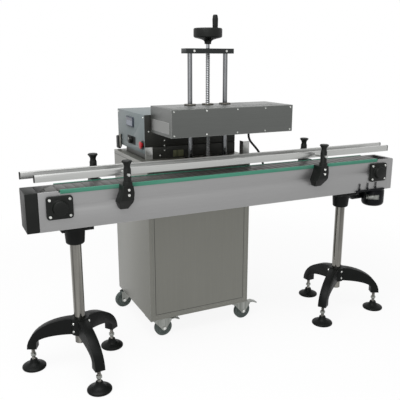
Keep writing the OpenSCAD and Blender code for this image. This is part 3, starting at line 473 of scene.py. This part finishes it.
softEdges = {  # node: bevel width in mm
    "front_side_panel": 0.8, "rear_side_panel": 0.8, "infeed_cover": 2.5, "outfeed_cover": 1.5,
    "bearing_units": 2.0, "drive_motor": 1.5, "drive_guard": 3.0, "rail_brackets": 3.0,
    "front_rail": 2.0, "rear_rail": 2.0, "stand_heads": 3.0, "tripod_bases": 7.0, "cabinet_shell": 2.5,
    "frame_ties": 1.0, "console_cover": 3.0, "console_front": 1.2,
    "console_base": 1.5, "support_posts": 0.8, "panel_meter": 1.5, "power_knob": 1.2, "stop_collar": 1.2,
    "stop_button": 1.0, "crossbar": 1.5, "crank_handle": 1.2, "head_shell": 1.2,
    "head_front_plate": 0.8, "caster_plates": 0.6, "coil_base": 0.6, "slat_chain": 0.4, "foot_pads": 1.5,
    "wear_strips": 0.6, "induction_coil": 4.0, "rod_bases": 1.0, "head_bushings": 0.8,
}
corners = ("front_left", "front_right", "rear_left", "rear_right")
for corner in corners:
    softEdges["fork_" + corner] = 0.6
    softEdges["wheel_" + corner] = 0.8
for corner in corners[:2]:
    softEdges["pedal_" + corner] = 0.8

slotOf = {part["node"]: part["material_slot"] for part in frame["record"]["subparts"]}
ownFinish = {
    "cabinet_shell": steelUpright, "cabinet_front_panel": steelUpright, "support_posts": railSteel,
    "head_shell": steelHead, "head_front_plate": steelHead, "drive_motor": motorPaint,
    "crossbar": barPaint, "panel_meter": meterCase, "stand_heads": standMould, "tripod_bases": standMould,
    "foot_pads": standMould, "guide_rods": chromeRod, "lead_screw": chromeRod,
    "console_front": consoleBlack, "console_base": consoleBlack,
}


def finishOf(node):
    return ownFinish.get(node) or finishes[slotOf[node]]


def softCopy(node, width):
    # merged copy of a solid with its flat faces joined, then a small bevel on every sharp edge
    mesh = nodes[node].data.copy()
    mesh.materials.clear()
    mesh.materials.append(finishOf(node))
    work = bmesh.new()
    work.from_mesh(mesh)
    bmesh.ops.remove_doubles(work, verts=work.verts, dist=meshing["weld"])
    bmesh.ops.dissolve_limit(work, angle_limit=math.radians(meshing["flatWithin"]),
                             verts=work.verts, edges=work.edges)
    for face in work.faces:
        face.smooth = True
        face.material_index = 0
    work.to_mesh(mesh)
    work.free()
    piece = bpy.data.objects.new(node + "_dressed", mesh)
    scene.collection.objects.link(piece)
    bevel = piece.modifiers.new("edges", "BEVEL")
    bevel.width, bevel.segments = width * mm, 2
    bevel.limit_method, bevel.angle_limit = "ANGLE", math.radians(meshing["bevelFrom"])
    bevel.harden_normals = True
    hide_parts(node)
    return onBody(piece, bodyOf[node])


for node, item in nodes.items():
    item.data.materials.clear()
    item.data.materials.append(finishOf(node))
for node, width in softEdges.items():
    softCopy(node, width)
print("softened:", len(softEdges))

# cable from the head to the cabinet

cable = {"radius": 5.5 * mm, "sides": 16, "steps": 8, "stand": 30 * mm, "in": 25 * mm,
         "stillFrom": 19, "movingTo": 1}  # two points of the route
headLow, headHigh = boxOf("head_shell")
cabLow, cabHigh = boxOf("cabinet_shell")
cableStart = np.array([cabHigh[0] + cable["stand"], headHigh[1] - cable["in"], headLow[2]])
cableRoute = cableStart + mm * np.array([  # the solid cable's route, from the head's strain relief
    [0, 0, -26], [0, 0, -37], [3, 0, -53], [11, 0, -69], [24, 0, -84], [40, 0, -101], [58, 0, -122],
    [72, 1, -145], [83, 2, -169], [91, 3, -194], [96, 4, -220], [99, 5, -246], [100, 6, -272], [100, 7, -298],
    [100, 8, -322], [99, 9, -346], [97, 13, -369], [90, 24, -389], [80, 41, -402], [69, 61, -407],
    [62, 82, -406], [60, 106, -402], [60, 130, -396], [59, 152, -390], [54, 174, -384], [41, 192, -379],
    [22, 202, -377], [8, 204, -376], [-4, 204, -376]])


def smoothPath(points, steps):
    # Catmull-Rom curve through the points, as one array
    padded = np.vstack([2 * points[0] - points[1], points, 2 * points[-1] - points[-2]])
    t = np.linspace(0, 1, steps, endpoint=False)[None, :, None]
    p0, p1, p2, p3 = (padded[i:len(padded) - 3 + i, None] for i in range(4))
    curve = 0.5 * (2 * p1 + (p2 - p0) * t + (2 * p0 - 5 * p1 + 4 * p2 - p3) * t ** 2
                   + (3 * p1 - p0 - 3 * p2 + p3) * t ** 3)
    return np.vstack([curve.reshape(-1, 3), points[-1:]])


def tubePoints(path, radius, sides):
    # circle carried along the path, its frame kept from twisting by one fixed side vector
    fixedSide = (0.05, 1, 0.1)
    ahead = np.gradient(path, axis=0)
    ahead /= np.linalg.norm(ahead, axis=1, keepdims=True)
    side = np.cross(ahead, fixedSide)
    side /= np.linalg.norm(side, axis=1, keepdims=True)
    angle = np.linspace(0, 2 * math.pi, sides, endpoint=False)
    lift = np.cross(ahead, side)[:, None]
    ring = np.cos(angle)[None, :, None] * side[:, None] + np.sin(angle)[None, :, None] * lift
    return path[:, None] + radius * ring


cablePath = smoothPath(cableRoute, cable["steps"])
cableTube = gridPiece("headCable", tubePoints(cablePath, cable["radius"], cable["sides"])[:, ::-1],
                      finishes["cable_rubber"], closeV=True, capStart=True, capEnd=True)
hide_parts("head_cable")
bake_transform(cableTube)

# screws, bolts and nuts

screwSides = 18
buttonHead = mm * np.array([[1, 0], [1, 0.25], [0.82, 0.6], [0.52, 0.72], [0.48, 0.7], [0.46, 0.35]])
hexHead = mm * np.array([[1, 0], [1, 0.55], [0.9, 0.7]])


def rel(x, y, z):  # millimetres from the conveyor's middle on the floor
    return conveyorMid + mm * np.array([x, y, z])


def scaled(size):  # millimetres to metres
    return [side * mm for side in size]


def buttonScrews(name, places, radius, body="frame", material=screwZinc):
    piece = repeatLathe(name, radius * buttonHead, screwSides, places, material, hexRing(4, 6))
    return onBody(piece, body)


def hexBolts(name, places, radius, body="frame"):
    piece = repeatLathe(name, radius * hexHead, screwSides, places, screwZinc, hexRing(0, 3))
    return onBody(piece, body)


toFront, toRear, toLeft, toRight, toTop = (0, -1, 0), (0, 1, 0), (-1, 0, 0), (1, 0, 0), (0, 0, 1)

bearing = {"acrossX": 40, "acrossZ": 34, "stands": 12, "screw": 6.5}
idlerLow, idlerHigh = boxOf("idler_shaft")
driveLow, driveHigh = boxOf("drive_shaft")
bearingScrews = []
for low, high, faces in ((idlerLow, idlerHigh, (toFront, toRear)), (driveLow, driveHigh, (toFront,))):
    centre = (low + high) / 2
    for face in faces:
        y = frontLow[1] - bearing["stands"] * mm if face == toFront else rearHigh[1] + bearing["stands"] * mm
        for sx in (-1, 1):
            for sz in (-1, 1):
                spot = [centre[0] + sx * bearing["acrossX"] * mm, y, centre[2] + sz * bearing["acrossZ"] * mm]
                bearingScrews.append((spot, face))
buttonScrews("bearingScrews", bearingScrews, bearing["screw"])

spacer = {"step": 450, "radius": 8}
spacerBolts = []
for x in (-spacer["step"], 0, spacer["step"]):
    z = idlerLow[2] / 2 + idlerHigh[2] / 2
    spacerBolts.append(([conveyorMid[0] + x * mm, rearHigh[1], z], toRear))
hexBolts("spacerBolts", spacerBolts, spacer["radius"])

headScrews = {"along": (0.018, 0.27, 0.52, 0.757, 0.978), "in": 9, "radius": 4.2}
plateLow, plateHigh = boxOf("head_front_plate")
headSpots = []
for share in headScrews["along"]:
    x = plateLow[0] + share * (plateHigh[0] - plateLow[0])
    for z in (plateLow[2] + headScrews["in"] * mm, plateHigh[2] - headScrews["in"] * mm):
        headSpots.append(([x, plateLow[1], z], toFront))
buttonScrews("headScrews", headSpots, headScrews["radius"], "head")

consoleScrews = {"places": ((-340, 999), (-262, 954), (-262, 930), (-285, 884), (-262, 907)), "radius": 4.5}
blackLow = boxOf("console_front")[0]
buttonScrews("consoleScrews", [([rel(x, 0, 0)[0], blackLow[1], z * mm], toFront)
                               for x, z in consoleScrews["places"]], consoleScrews["radius"])

coverScrews = {"in": 14, "radius": 4}
coverLow, coverHigh = boxOf("console_cover")
coverSpots = []
for x, face in ((coverLow[0], toLeft), (coverHigh[0], toRight)):
    for y in (coverLow[1] + coverScrews["in"] * mm, coverHigh[1] - coverScrews["in"] * mm):
        coverSpots.append(([x, y, coverHigh[2] - coverScrews["in"] * mm], face))
for x in (coverLow[0] + coverScrews["in"] * mm, coverHigh[0] - coverScrews["in"] * mm):
    for z in (coverLow[2] + coverScrews["in"] * mm, coverHigh[2] - coverScrews["in"] * mm):
        coverSpots.append(([x, coverHigh[1], z], toRear))
buttonScrews("coverScrews", coverSpots, coverScrews["radius"])

bracketBolts = {"front": (-550, 432), "rear": (-629, 477), "out": 126.5, "heights": (790, 812), "radius": 6.5}
bracketSpots = []
for x in bracketBolts["front"]:
    bracketSpots += [(rel(x, -bracketBolts["out"], z), toFront) for z in bracketBolts["heights"]]
for x in bracketBolts["rear"]:
    bracketSpots += [(rel(x, bracketBolts["out"], z), toRear) for z in bracketBolts["heights"]]
buttonScrews("bracketBolts", bracketSpots, bracketBolts["radius"])

barScrews = {"across": 81, "radius": 6}
barLow, barHigh = boxOf("crossbar")
barMid = (barLow + barHigh) / 2
buttonScrews("barScrews", [([barMid[0] + s * barScrews["across"] * mm, y, barMid[2]], face)
                           for s in (-1, 1) for y, face in ((barLow[1], toFront), (barHigh[1], toRear))],
             barScrews["radius"])

standScrews = {"across": 48, "edge": 62, "below": 7, "hub": 40, "hubHeights": (188, 224), "radius": 6}
standAt = ((-750, (215, 335)), (645, (275, 155)))  # place, and turns between the legs
standSpots, hubSpots = [], []
for x, turns in standAt:
    z = frontLow[2] / mm - standScrews["below"]
    for s in (-1, 1):
        standSpots.append((rel(x + s * standScrews["across"], -standScrews["edge"], z), toFront))
        standSpots.append((rel(x + s * standScrews["across"], standScrews["edge"], z), toRear))
    for turn in turns:
        out = np.array([math.cos(math.radians(turn)), math.sin(math.radians(turn)), 0])
        for z in standScrews["hubHeights"]:
            hubSpots.append((rel(x, 0, z) + standScrews["hub"] * mm * out, out))
buttonScrews("standScrews", standSpots, standScrews["radius"], "frame", finishes["black_paint"])
buttonScrews("hubScrews", hubSpots, standScrews["radius"])

motorRail = {"from": 688, "to": 872, "high": 9, "deep": 8, "round": 2}
railMid = rel((motorRail["from"] + motorRail["to"]) / 2, 0, 0)[0]
railTop = frontLow[2] + motorRail["high"] * mm
onBody(plateOn("motorRail", (railMid, frontLow[1], frontLow[2] + motorRail["high"] / 2 * mm), toFront,
               ((motorRail["to"] - motorRail["from"]) * mm, motorRail["high"] * mm), motorRail["deep"] * mm,
               motorRail["round"] * mm, motorPaint), "frame")

motorStuds = {"places": (707, 760, 814), "radius": 2.4, "nut": 5, "nutLow": 5, "nutHigh": 10, "tall": 36,
              "sunk": 1, "sides": 24}
stud, nut, tall = (motorStuds[k] for k in ("radius", "nut", "tall"))
studProfile = mm * np.array([
    [stud, -motorStuds["sunk"]], [stud, motorStuds["nutLow"]], [nut, motorStuds["nutLow"]],
    [nut, motorStuds["nutHigh"]], [stud, motorStuds["nutHigh"]], [stud, tall - 1], [stud - 1, tall]])
studSpots = [([rel(x, 0, 0)[0], frontLow[1] - motorRail["deep"] / 2 * mm, railTop], toTop)
             for x in motorStuds["places"]]
onBody(repeatLathe("motorStuds", studProfile, motorStuds["sides"], studSpots, motorPaint, hexRing(2, 4)),
       "frame")

axleNuts = {"out": 19, "radius": 9}
for corner in corners:
    low, high = boxOf("wheel_" + corner)
    centre = (low + high) / 2
    hexBolts("axleNuts_" + corner, [(centre + [0, s * axleNuts["out"] * mm, 0], (0, s, 0)) for s in (-1, 1)],
             axleNuts["radius"], "swivel_" + corner)
print("fasteners done")

# threads

thread = {"perTurn": 8, "sides": 24, "crest": 0.14, "flank": 0.22}  # crest and flank as shares of the pitch


def threadPoints(low, high, radius, pitch, depth):
    # screw surface: radius r - depth * ramp((z / pitch - angle / 2 pi) mod 1), a flat crest and root
    rows = int((high - low) / pitch * thread["perTurn"]) + 1
    height = np.linspace(low, high, rows)[:, None]
    angle = np.linspace(0, 2 * math.pi, thread["sides"], endpoint=False)[None, :]
    phase = (height / pitch - angle / (2 * math.pi)) % 1.0
    ramp = np.clip((0.5 - np.abs(phase - 0.5) - thread["crest"]) / thread["flank"], 0, 1)
    wave = radius - depth * ramp
    return np.stack([wave * np.cos(angle), wave * np.sin(angle), height * np.ones_like(angle)], -1)


screw = {"radius": 10, "pitch": 8, "depth": 1.5, "neck": 7, "below": 0.6}
screwLow, screwHigh = boxOf("lead_screw")
screwMid = (screwLow + screwHigh) / 2
screwTop = barLow[2] - screw["below"] * mm
screwTurns = threadPoints(screwLow[2], screwTop, screw["radius"] * mm, screw["pitch"] * mm,
                          screw["depth"] * mm)
screwTurns[..., :2] += screwMid[:2]
neckRing = lathePoints(mm * np.array([[screw["neck"], 0], [screw["neck"], 1]]), thread["sides"])
neckRing[..., :2] += screwMid[:2]
neckRing[0, :, 2], neckRing[1, :, 2] = screwTop, screwHigh[2]
screwPiece = gridPiece("leadScrewThread", np.concatenate([screwTurns, neckRing])[:, ::-1], chromeRod,
                       closeV=True, capStart=True, capEnd=True)
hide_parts("lead_screw")
onBody(screwPiece, "hand_wheel")

handWheel = {"neck": 8.5, "hub": 15, "hubLow": 19, "flare": 33, "rim": 65, "rimLow": 47, "rimTop": 88,
             "lip": 11, "floor": 80, "boss": 15, "sides": 96, "neckSides": 48}
wheelFoot = [screwMid[0], screwMid[1], boxOf("handwheel")[0][2]]
neck, hub, rim, hubLow, top, floorAt, boss = (
    handWheel[k] for k in ("neck", "hub", "rim", "hubLow", "rimTop", "floor", "boss"))
wheelProfile = mm * np.array([  # (radius, height): hub, shallow flare, banded rim, then the dished top
    [neck, hubLow], [hub - 1, hubLow], [hub, hubLow + 1], [hub + 0.5, 28], [hub + 3, handWheel["flare"]],
    [hub + 10, 37.5], [hub + 24, 42], [rim - 12, 45], [rim - 5, handWheel["rimLow"]], [rim - 1, 50],
    [rim, 54], [rim, top - 6], [rim - 1.5, top - 2], [rim - 4, top], [rim - 8, top],
    [rim - handWheel["lip"], top - 3], [rim - handWheel["lip"] - 2, floorAt], [boss + 3, floorAt],
    [boss, floorAt + 2.5], [6, floorAt + 3]])
wheelPiece = repeatLathe("dishedWheel", wheelProfile, handWheel["sides"], [(wheelFoot, toTop)],
                         finishes["black_plastic"])
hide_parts("handwheel")
onBody(wheelPiece, "hand_wheel")
neckProfile = mm * np.array([[neck - 1, 0], [neck, 1], [neck, hubLow - 1], [neck + 2, hubLow],
                             [neck + 2, hubLow + 2]])
onBody(repeatLathe("wheelNeck", neckProfile, handWheel["neckSides"], [(wheelFoot, toTop)], chromeRod),
       "hand_wheel")

spindle = {"radius": 8, "pitch": 2.5, "depth": 0.9, "low": 22, "high": 125, "out": 212,
           "feet": ((-750, (155, 275, 35)), (645, (-25, 215, 95)))}  # stand's place, and its legs' turns
footSpots = []
for x, turns in spindle["feet"]:
    for turn in np.radians(turns):
        footSpots.append(rel(x + spindle["out"] * math.cos(turn), spindle["out"] * math.sin(turn), 0))
footTurns = threadPoints(spindle["low"] * mm, spindle["high"] * mm, spindle["radius"] * mm,
                         spindle["pitch"] * mm, spindle["depth"] * mm)
footThreads = repeatGrid("spindleThreads", footTurns, [(spot, toTop) for spot in footSpots],
                         finishes["bright_steel"])
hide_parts("foot_spindles")
onBody(footThreads, "frame")

footNut = {"radius": 13, "low": 58, "high": 70, "sides": 24}
tall, wide = footNut["high"] - footNut["low"], footNut["radius"]
nutProfile = mm * np.array([[spindle["radius"], 0], [wide - 1, 0], [wide, 1], [wide, tall - 1],
                            [wide - 1, tall], [spindle["radius"], tall]])
nutSpots = [(spot + [0, 0, footNut["low"] * mm], toTop) for spot in footSpots]
onBody(repeatLathe("spindleNuts", nutProfile, footNut["sides"], nutSpots, finishes["zinc_steel"],
                   hexRing(1, 5)), "frame")
print("threads done")

# clamping knobs with grip lobes

knob = {"radius": 22, "neck": 12.5, "foot": 14.5, "height": 34, "rim": 9, "lip": 3, "lobes": 7,
        "wave": 0.05, "sides": 84}
grip, lip, tall = (knob[k] for k in ("radius", "lip", "height"))
knobProfile = mm * np.array([
    [knob["foot"], 0], [knob["neck"], tall / 4], [knob["neck"] + 1, tall / 2],
    [grip - lip, tall - knob["rim"]], [grip, tall - knob["rim"] + lip], [grip, tall - lip],
    [grip - lip, tall], [grip / 2, tall - 1]])


def lobed(radius, angle):  # rim radius r (1 - w + w cos(n angle))
    radius[3:7] *= 1 - knob["wave"] + knob["wave"] * np.cos(knob["lobes"] * angle)
    return radius


for corner in corners:
    low, high = boxOf("knob_" + corner)
    foot = [(low[0] + high[0]) / 2, (low[1] + high[1]) / 2, high[2] - knob["height"] * mm]
    piece = repeatLathe("gripKnob_" + corner, knobProfile, knob["sides"], [(foot, toTop)],
                        finishes["black_plastic"], lobed)
    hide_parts("knob_" + corner)
    onBody(piece, "clamp_" + corner)

# rail ends

plug = {"bar": (12, 29), "over": 1, "thick": 4, "round": 3, "in": 6, "below": 14.5}
plugSize = scaled([side + plug["over"] for side in plug["bar"]])
for node, body in (("front_rail", "front_guide"), ("rear_rail", "rear_guide")):
    low, high = boxOf(node)
    barY = low[1] + plug["in"] * mm if node == "rear_rail" else high[1] - plug["in"] * mm
    for x, face, end in ((low[0], toLeft, "left"), (high[0], toRight, "right")):
        piece = plateOn("plug_" + node + "_" + end, (x, barY, high[2] - plug["below"] * mm), face, plugSize,
                        plug["thick"] * mm, plug["round"] * mm, finishes["black_plastic"])
        onBody(piece, body)
print("knobs and rail ends done")

# console: meter window, switch plate, pointer and fittings

window = {"size": (84, 38), "thick": 0.8, "round": 2}
meterLow, meterHigh = boxOf("panel_meter")
meterMid = (meterLow + meterHigh) / 2
onBody(plateOn("meterWindow", (meterLow[0], meterMid[1], meterMid[2]), toLeft, scaled(window["size"]),
               window["thick"] * mm, window["round"] * mm, meterGlass), "frame")

dial = {"plate": (118, 40), "thick": 0.2, "round": 3}
pointer = {"size": (3, 13), "thick": 0.4, "round": 1, "up": 8}
knobLow, knobHigh = boxOf("power_knob")
dialMid = (knobLow + knobHigh) / 2
onBody(plateOn("switchPlate", (coverLow[0], dialMid[1], dialMid[2]), toLeft, scaled(dial["plate"]),
               dial["thick"] * mm, dial["round"] * mm, deepShade), "frame")
onBody(plateOn("dialPointer", (knobLow[0], dialMid[1], dialMid[2] + pointer["up"] * mm), toLeft,
               scaled(pointer["size"]), pointer["thick"] * mm, pointer["round"] * mm, whitePrint),
       "power_dial")

inlet = {"size": (34, 66), "thick": 15, "round": 4, "y": 572, "z": 906}
inletAt = [coverLow[0], *rel(0, inlet["y"], inlet["z"])[1:]]
onBody(plateOn("inletBlock", inletAt, toLeft, scaled(inlet["size"]), inlet["thick"] * mm, inlet["round"] * mm,
               finishes["black_plastic"]), "frame")

tube = {"radius": 6, "y": 541, "low": 884, "high": 950, "sides": 24}
tall, wide = tube["high"] - tube["low"], tube["radius"]
tubeProfile = mm * np.array([[wide - 1, 0], [wide, 1], [wide, tall - 1], [wide - 1, tall]])
tubeFoot = [coverLow[0] - wide * mm, *rel(0, tube["y"], tube["low"])[1:]]
onBody(repeatLathe("inletTube", tubeProfile, tube["sides"], [(tubeFoot, toTop)], finishes["bright_steel"]),
       "frame")

frontTag = {"x": -191, "z": 889, "size": (54, 32), "thick": 0.8, "round": 2}
onBody(plateOn("frontPlate", (rel(frontTag["x"], 0, 0)[0], blackLow[1], frontTag["z"] * mm), toFront,
               scaled(frontTag["size"]), frontTag["thick"] * mm, frontTag["round"] * mm, oliveZinc),
       "frame")
print("console done")

# blank plates

motorTag = {"at": (866, 4), "radius": 58.4, "from": -168, "to": -98, "low": 601, "high": 627, "steps": 14,
            "thick": 0.4}
motorMid = rel(*motorTag["at"], 0)
arc = np.radians(np.linspace(motorTag["from"], motorTag["to"], motorTag["steps"]))
bend = motorMid[:2] + motorTag["radius"] * mm * np.stack([np.cos(arc), np.sin(arc)], 1)
motorSheet = np.stack([np.column_stack([bend, np.full(len(arc), z * mm)])  # arc of the housing at two heights
                       for z in (motorTag["low"], motorTag["high"])])
motorPlate = gridPiece("motorPlate", motorSheet[::-1], finishes["zinc_steel"])
motorPlate.modifiers.new("sheet", "SOLIDIFY").thickness = motorTag["thick"] * mm
onBody(motorPlate, "frame")

headTag = {"share": (0.82, 0.4), "thick": 0.5, "y": 0.52, "z": 0.32, "round": 2}
headSize = (headHigh - headLow)[1:]
onBody(plateOn("headPlate", headLow + [0, headTag["y"] * headSize[0], headTag["z"] * headSize[1]], toLeft,
               headSize * headTag["share"], headTag["thick"] * mm, headTag["round"] * mm, blankPlate),
       "head")
print("plates done")

# back panel of the cabinet with pressed louvres and its screws

back = {"in": 30, "thick": 1.2, "round": 8, "screwIn": 12, "screw": 4.5, "rows": 7, "pitch": 26, "first": 150,
        "columns": (-95, 95), "long": 130, "high": 13, "deep": 7, "sink": 0.5, "steps": (17, 9)}
backSize = (cabHigh - cabLow)[[0, 2]] - 2 * back["in"] * mm
backMid = (cabLow + cabHigh) / 2
backFace = cabHigh[1] + back["thick"] * mm
onBody(plateOn("backPanel", (backMid[0], cabHigh[1], backMid[2]), toRear, backSize, back["thick"] * mm,
               back["round"] * mm, steelUpright), "frame")
reachX, reachZ = backSize / 2 - back["screwIn"] * mm
buttonScrews("backScrews", [([backMid[0] + i * reachX, backFace, backMid[2] + j * reachZ], toRear)
                            for i in (-1, 0, 1) for j in (-1, 0, 1) if i or j], back["screw"])


def louvrePoints(length, height, depth, sink):
    # half lens depth * (1 - u^4) * sin(pi v^1.8)^0.5 along u, closed by a flat back that is sunk in the sheet
    u = np.linspace(-1, 1, back["steps"][0])[:, None]
    v = np.linspace(0, 1, back["steps"][1])[None, :]
    bulge = depth * (1 - u ** 4) * np.sqrt(np.clip(np.sin(math.pi * v ** 1.8), 0, 1))
    flat = np.full((len(u), 2), -sink)
    across = np.concatenate([(0.5 - v[0]) * height, [-height / 2, height / 2]])
    raised = np.concatenate([bulge, flat], 1)
    return np.stack([u * length / 2 + 0 * raised, across + 0 * raised, raised], -1)


louvre = louvrePoints(back["long"] * mm, back["high"] * mm, back["deep"] * mm, back["sink"] * mm)
louvreDown = [cabHigh[2] - (back["first"] + row * back["pitch"]) * mm for row in range(back["rows"])]
louvreSpots = [([backMid[0] + x * mm, backFace, z], toRear) for x in back["columns"] for z in louvreDown]
onBody(repeatGrid("backLouvres", louvre, louvreSpots, steelUpright), "frame")
print("back panel done")

# front panel with its frame line and a dark band of painted shade in its groove, and a painted shade band for
# the seam under the cabinet's lid

door = {"fill": 1.5, "line": 10, "width": 1.8, "depth": 1.5, "round": 2, "shadeDrop": 0.5, "soft": (0.6, 0.5),
        "field": 9}
doorLow, doorHigh = boxOf("cabinet_front_panel")
doorMid = (doorLow + doorHigh) / 2
doorThick = doorHigh[1] - doorLow[1]
doorSize = (doorHigh - doorLow)[[0, 2]] + 2 * door["fill"] * mm
lineFrom, lineTo = door["line"] * mm, (door["line"] + door["width"]) * mm
softIn, softDown = scaled(door["soft"])
grooveFloor = doorThick - door["depth"] * mm
doorRows = [(0, 0), (0, doorThick), (lineFrom - softIn, doorThick), (lineFrom, doorThick - softDown),
            (lineFrom, grooveFloor), (lineTo, grooveFloor), (lineTo, doorThick - softDown),
            (lineTo + softIn, doorThick), (lineTo + door["field"] * mm, doorThick)]
doorPiece = steppedPlate("frontPanel", (doorMid[0], doorHigh[1], doorMid[2]), toFront, doorSize, doorRows,
                         door["round"] * mm, steelDoor)
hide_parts("cabinet_front_panel")
onBody(doorPiece, "frame")
# painted shade: a dark band sunk in the groove makes the frame line darker than the groove's own shade
grooveShadeTop = doorThick - door["shadeDrop"] * mm
grooveShadeRows = [(lineFrom, grooveFloor), (lineFrom, grooveShadeTop), (lineTo, grooveShadeTop), (lineTo, grooveFloor)]
onBody(steppedPlate("grooveShadeBand", (doorMid[0], doorHigh[1], doorMid[2]), toFront, doorSize, grooveShadeRows,
                    door["round"] * mm, finishes["cable_rubber"], True), "frame")

# painted shade: a thin dark band laid on the cabinet walls stands for the shadow in the gap under the lid
seam = {"below": 18, "height": 1.6, "out": 0.15, "thick": 0.1}
(left, near), (right, far) = cabLow[:2], cabHigh[:2]
seamCorners = np.array([[left, near], [left, far], [right, far], [right, near]])
outward = np.array([[-1, 0], [-1, 1], [1, 1], [1, 0]]) * seam["out"] * mm
seamTop = cabHigh[2] - seam["below"] * mm
seamLine = np.stack([np.column_stack([seamCorners + outward, np.full(4, z)])
                     for z in (seamTop, seamTop - seam["height"] * mm)])
lidSeamShade = gridPiece("lidSeamShade", seamLine[::-1], deepShade)
lidSeamShade.modifiers.new("band", "SOLIDIFY").thickness = seam["thick"] * mm
onBody(lidSeamShade, "frame")
print("front panel and seam done")

# lighting, floor and background

studio = {
    "keySize": (3.0, 3.0), "keyPower": 120.0, "keyAt": (-1.4, -1.0, 3.6),
    "stripSize": (1.0, 2.2), "stripPower": 15.0, "stripAt": (-2.2, -3.2, 1.4),
    "aim": (0, 0, 0.7), "world": 0.5, "floorHalf": 14.0, "floorDrop": 0.0005, "floorTone": 0.86,
    "near": 1.2, "far": 2.6, "share": 0.9,  # the floor shows the shadow near by, and is white far out
}


def areaLamp(name, place, size, power, target):
    lamp = bpy.data.lights.new(name, "AREA")
    lamp.shape, lamp.energy = "RECTANGLE", power
    lamp.size, lamp.size_y = size
    item = bpy.data.objects.new(name, lamp)
    scene.collection.objects.link(item)
    item.location = place
    towards = np.asarray(target, float) - np.asarray(place, float)
    item.rotation_euler = (math.atan2(math.hypot(towards[0], towards[1]), -towards[2]), 0,
                           math.atan2(towards[1], towards[0]) - math.pi / 2)
    return item


areaLamp("keyLamp", studio["keyAt"], studio["keySize"], studio["keyPower"], studio["aim"])
areaLamp("stripLamp", studio["stripAt"], studio["stripSize"], studio["stripPower"], studio["aim"])

world = bpy.data.worlds.new("studio")
scene.world = world
world.use_nodes = True
worldTree = world.node_tree
ambient = worldTree.nodes["Background"]
ambient.inputs["Color"].default_value = (1, 1, 1, 1)
ambient.inputs["Strength"].default_value = studio["world"]
backdrop = worldTree.nodes.new("ShaderNodeBackground")
backdrop.inputs["Color"].default_value = (1, 1, 1, 1)
worldMix = worldTree.nodes.new("ShaderNodeMixShader")
worldPath = worldTree.nodes.new("ShaderNodeLightPath")
previous = worldPath.outputs["Is Camera Ray"]
for ray in ("Is Glossy Ray", "Is Transmission Ray"):
    either = worldTree.nodes.new("ShaderNodeMath")
    either.operation = "MAXIMUM"
    worldTree.links.new(previous, either.inputs[0])
    worldTree.links.new(worldPath.outputs[ray], either.inputs[1])
    previous = either.outputs[0]
worldTree.links.new(previous, worldMix.inputs[0])
worldTree.links.new(ambient.outputs[0], worldMix.inputs[1])
worldTree.links.new(backdrop.outputs[0], worldMix.inputs[2])
worldTree.links.new(worldMix.outputs[0], worldTree.nodes["World Output"].inputs["Surface"])

floorSquare = studio["floorHalf"] * np.array([[-1, -1], [1, -1], [1, 1], [-1, 1]])
floorPoints = np.column_stack([floorSquare, np.full(4, -studio["floorDrop"])])
floorPaint = Paint("paleFloor", Base_Color=(*[studio["floorTone"]] * 3, 1), Roughness=0.9)
glow = floorPaint.node("ShaderNodeEmission", {}, {"Color": (1, 1, 1, 1)})
away = (floorPaint.axis("X") ** 2 + floorPaint.axis("Y") ** 2) ** 0.5
fade = floorPaint.node("ShaderNodeMapRange", {"interpolation_type": "SMOOTHSTEP"},
                       {0: away, 1: studio["near"], 2: studio["far"], 3: studio["share"], 4: 1.0})
rays = [floorPaint.node("ShaderNodeLightPath", {}, {}, ray)
        for ray in ("Is Camera Ray", "Is Glossy Ray", "Is Transmission Ray")]
seen = (rays[0] + rays[1] + rays[2]).clamp()
plain = Wire(floorPaint, floorPaint.shader.outputs[0])
surface = floorPaint.node("ShaderNodeMixShader", {}, {0: seen * fade, 1: plain, 2: glow})
floorPaint.tree.links.new(surface.socket, floorPaint.tree.nodes["Material Output"].inputs["Surface"])
meshPiece("floor", floorPoints, [[0, 1, 2, 3]], floorPaint.material)
scene.view_settings.view_transform = "Standard"
print("studio ready")
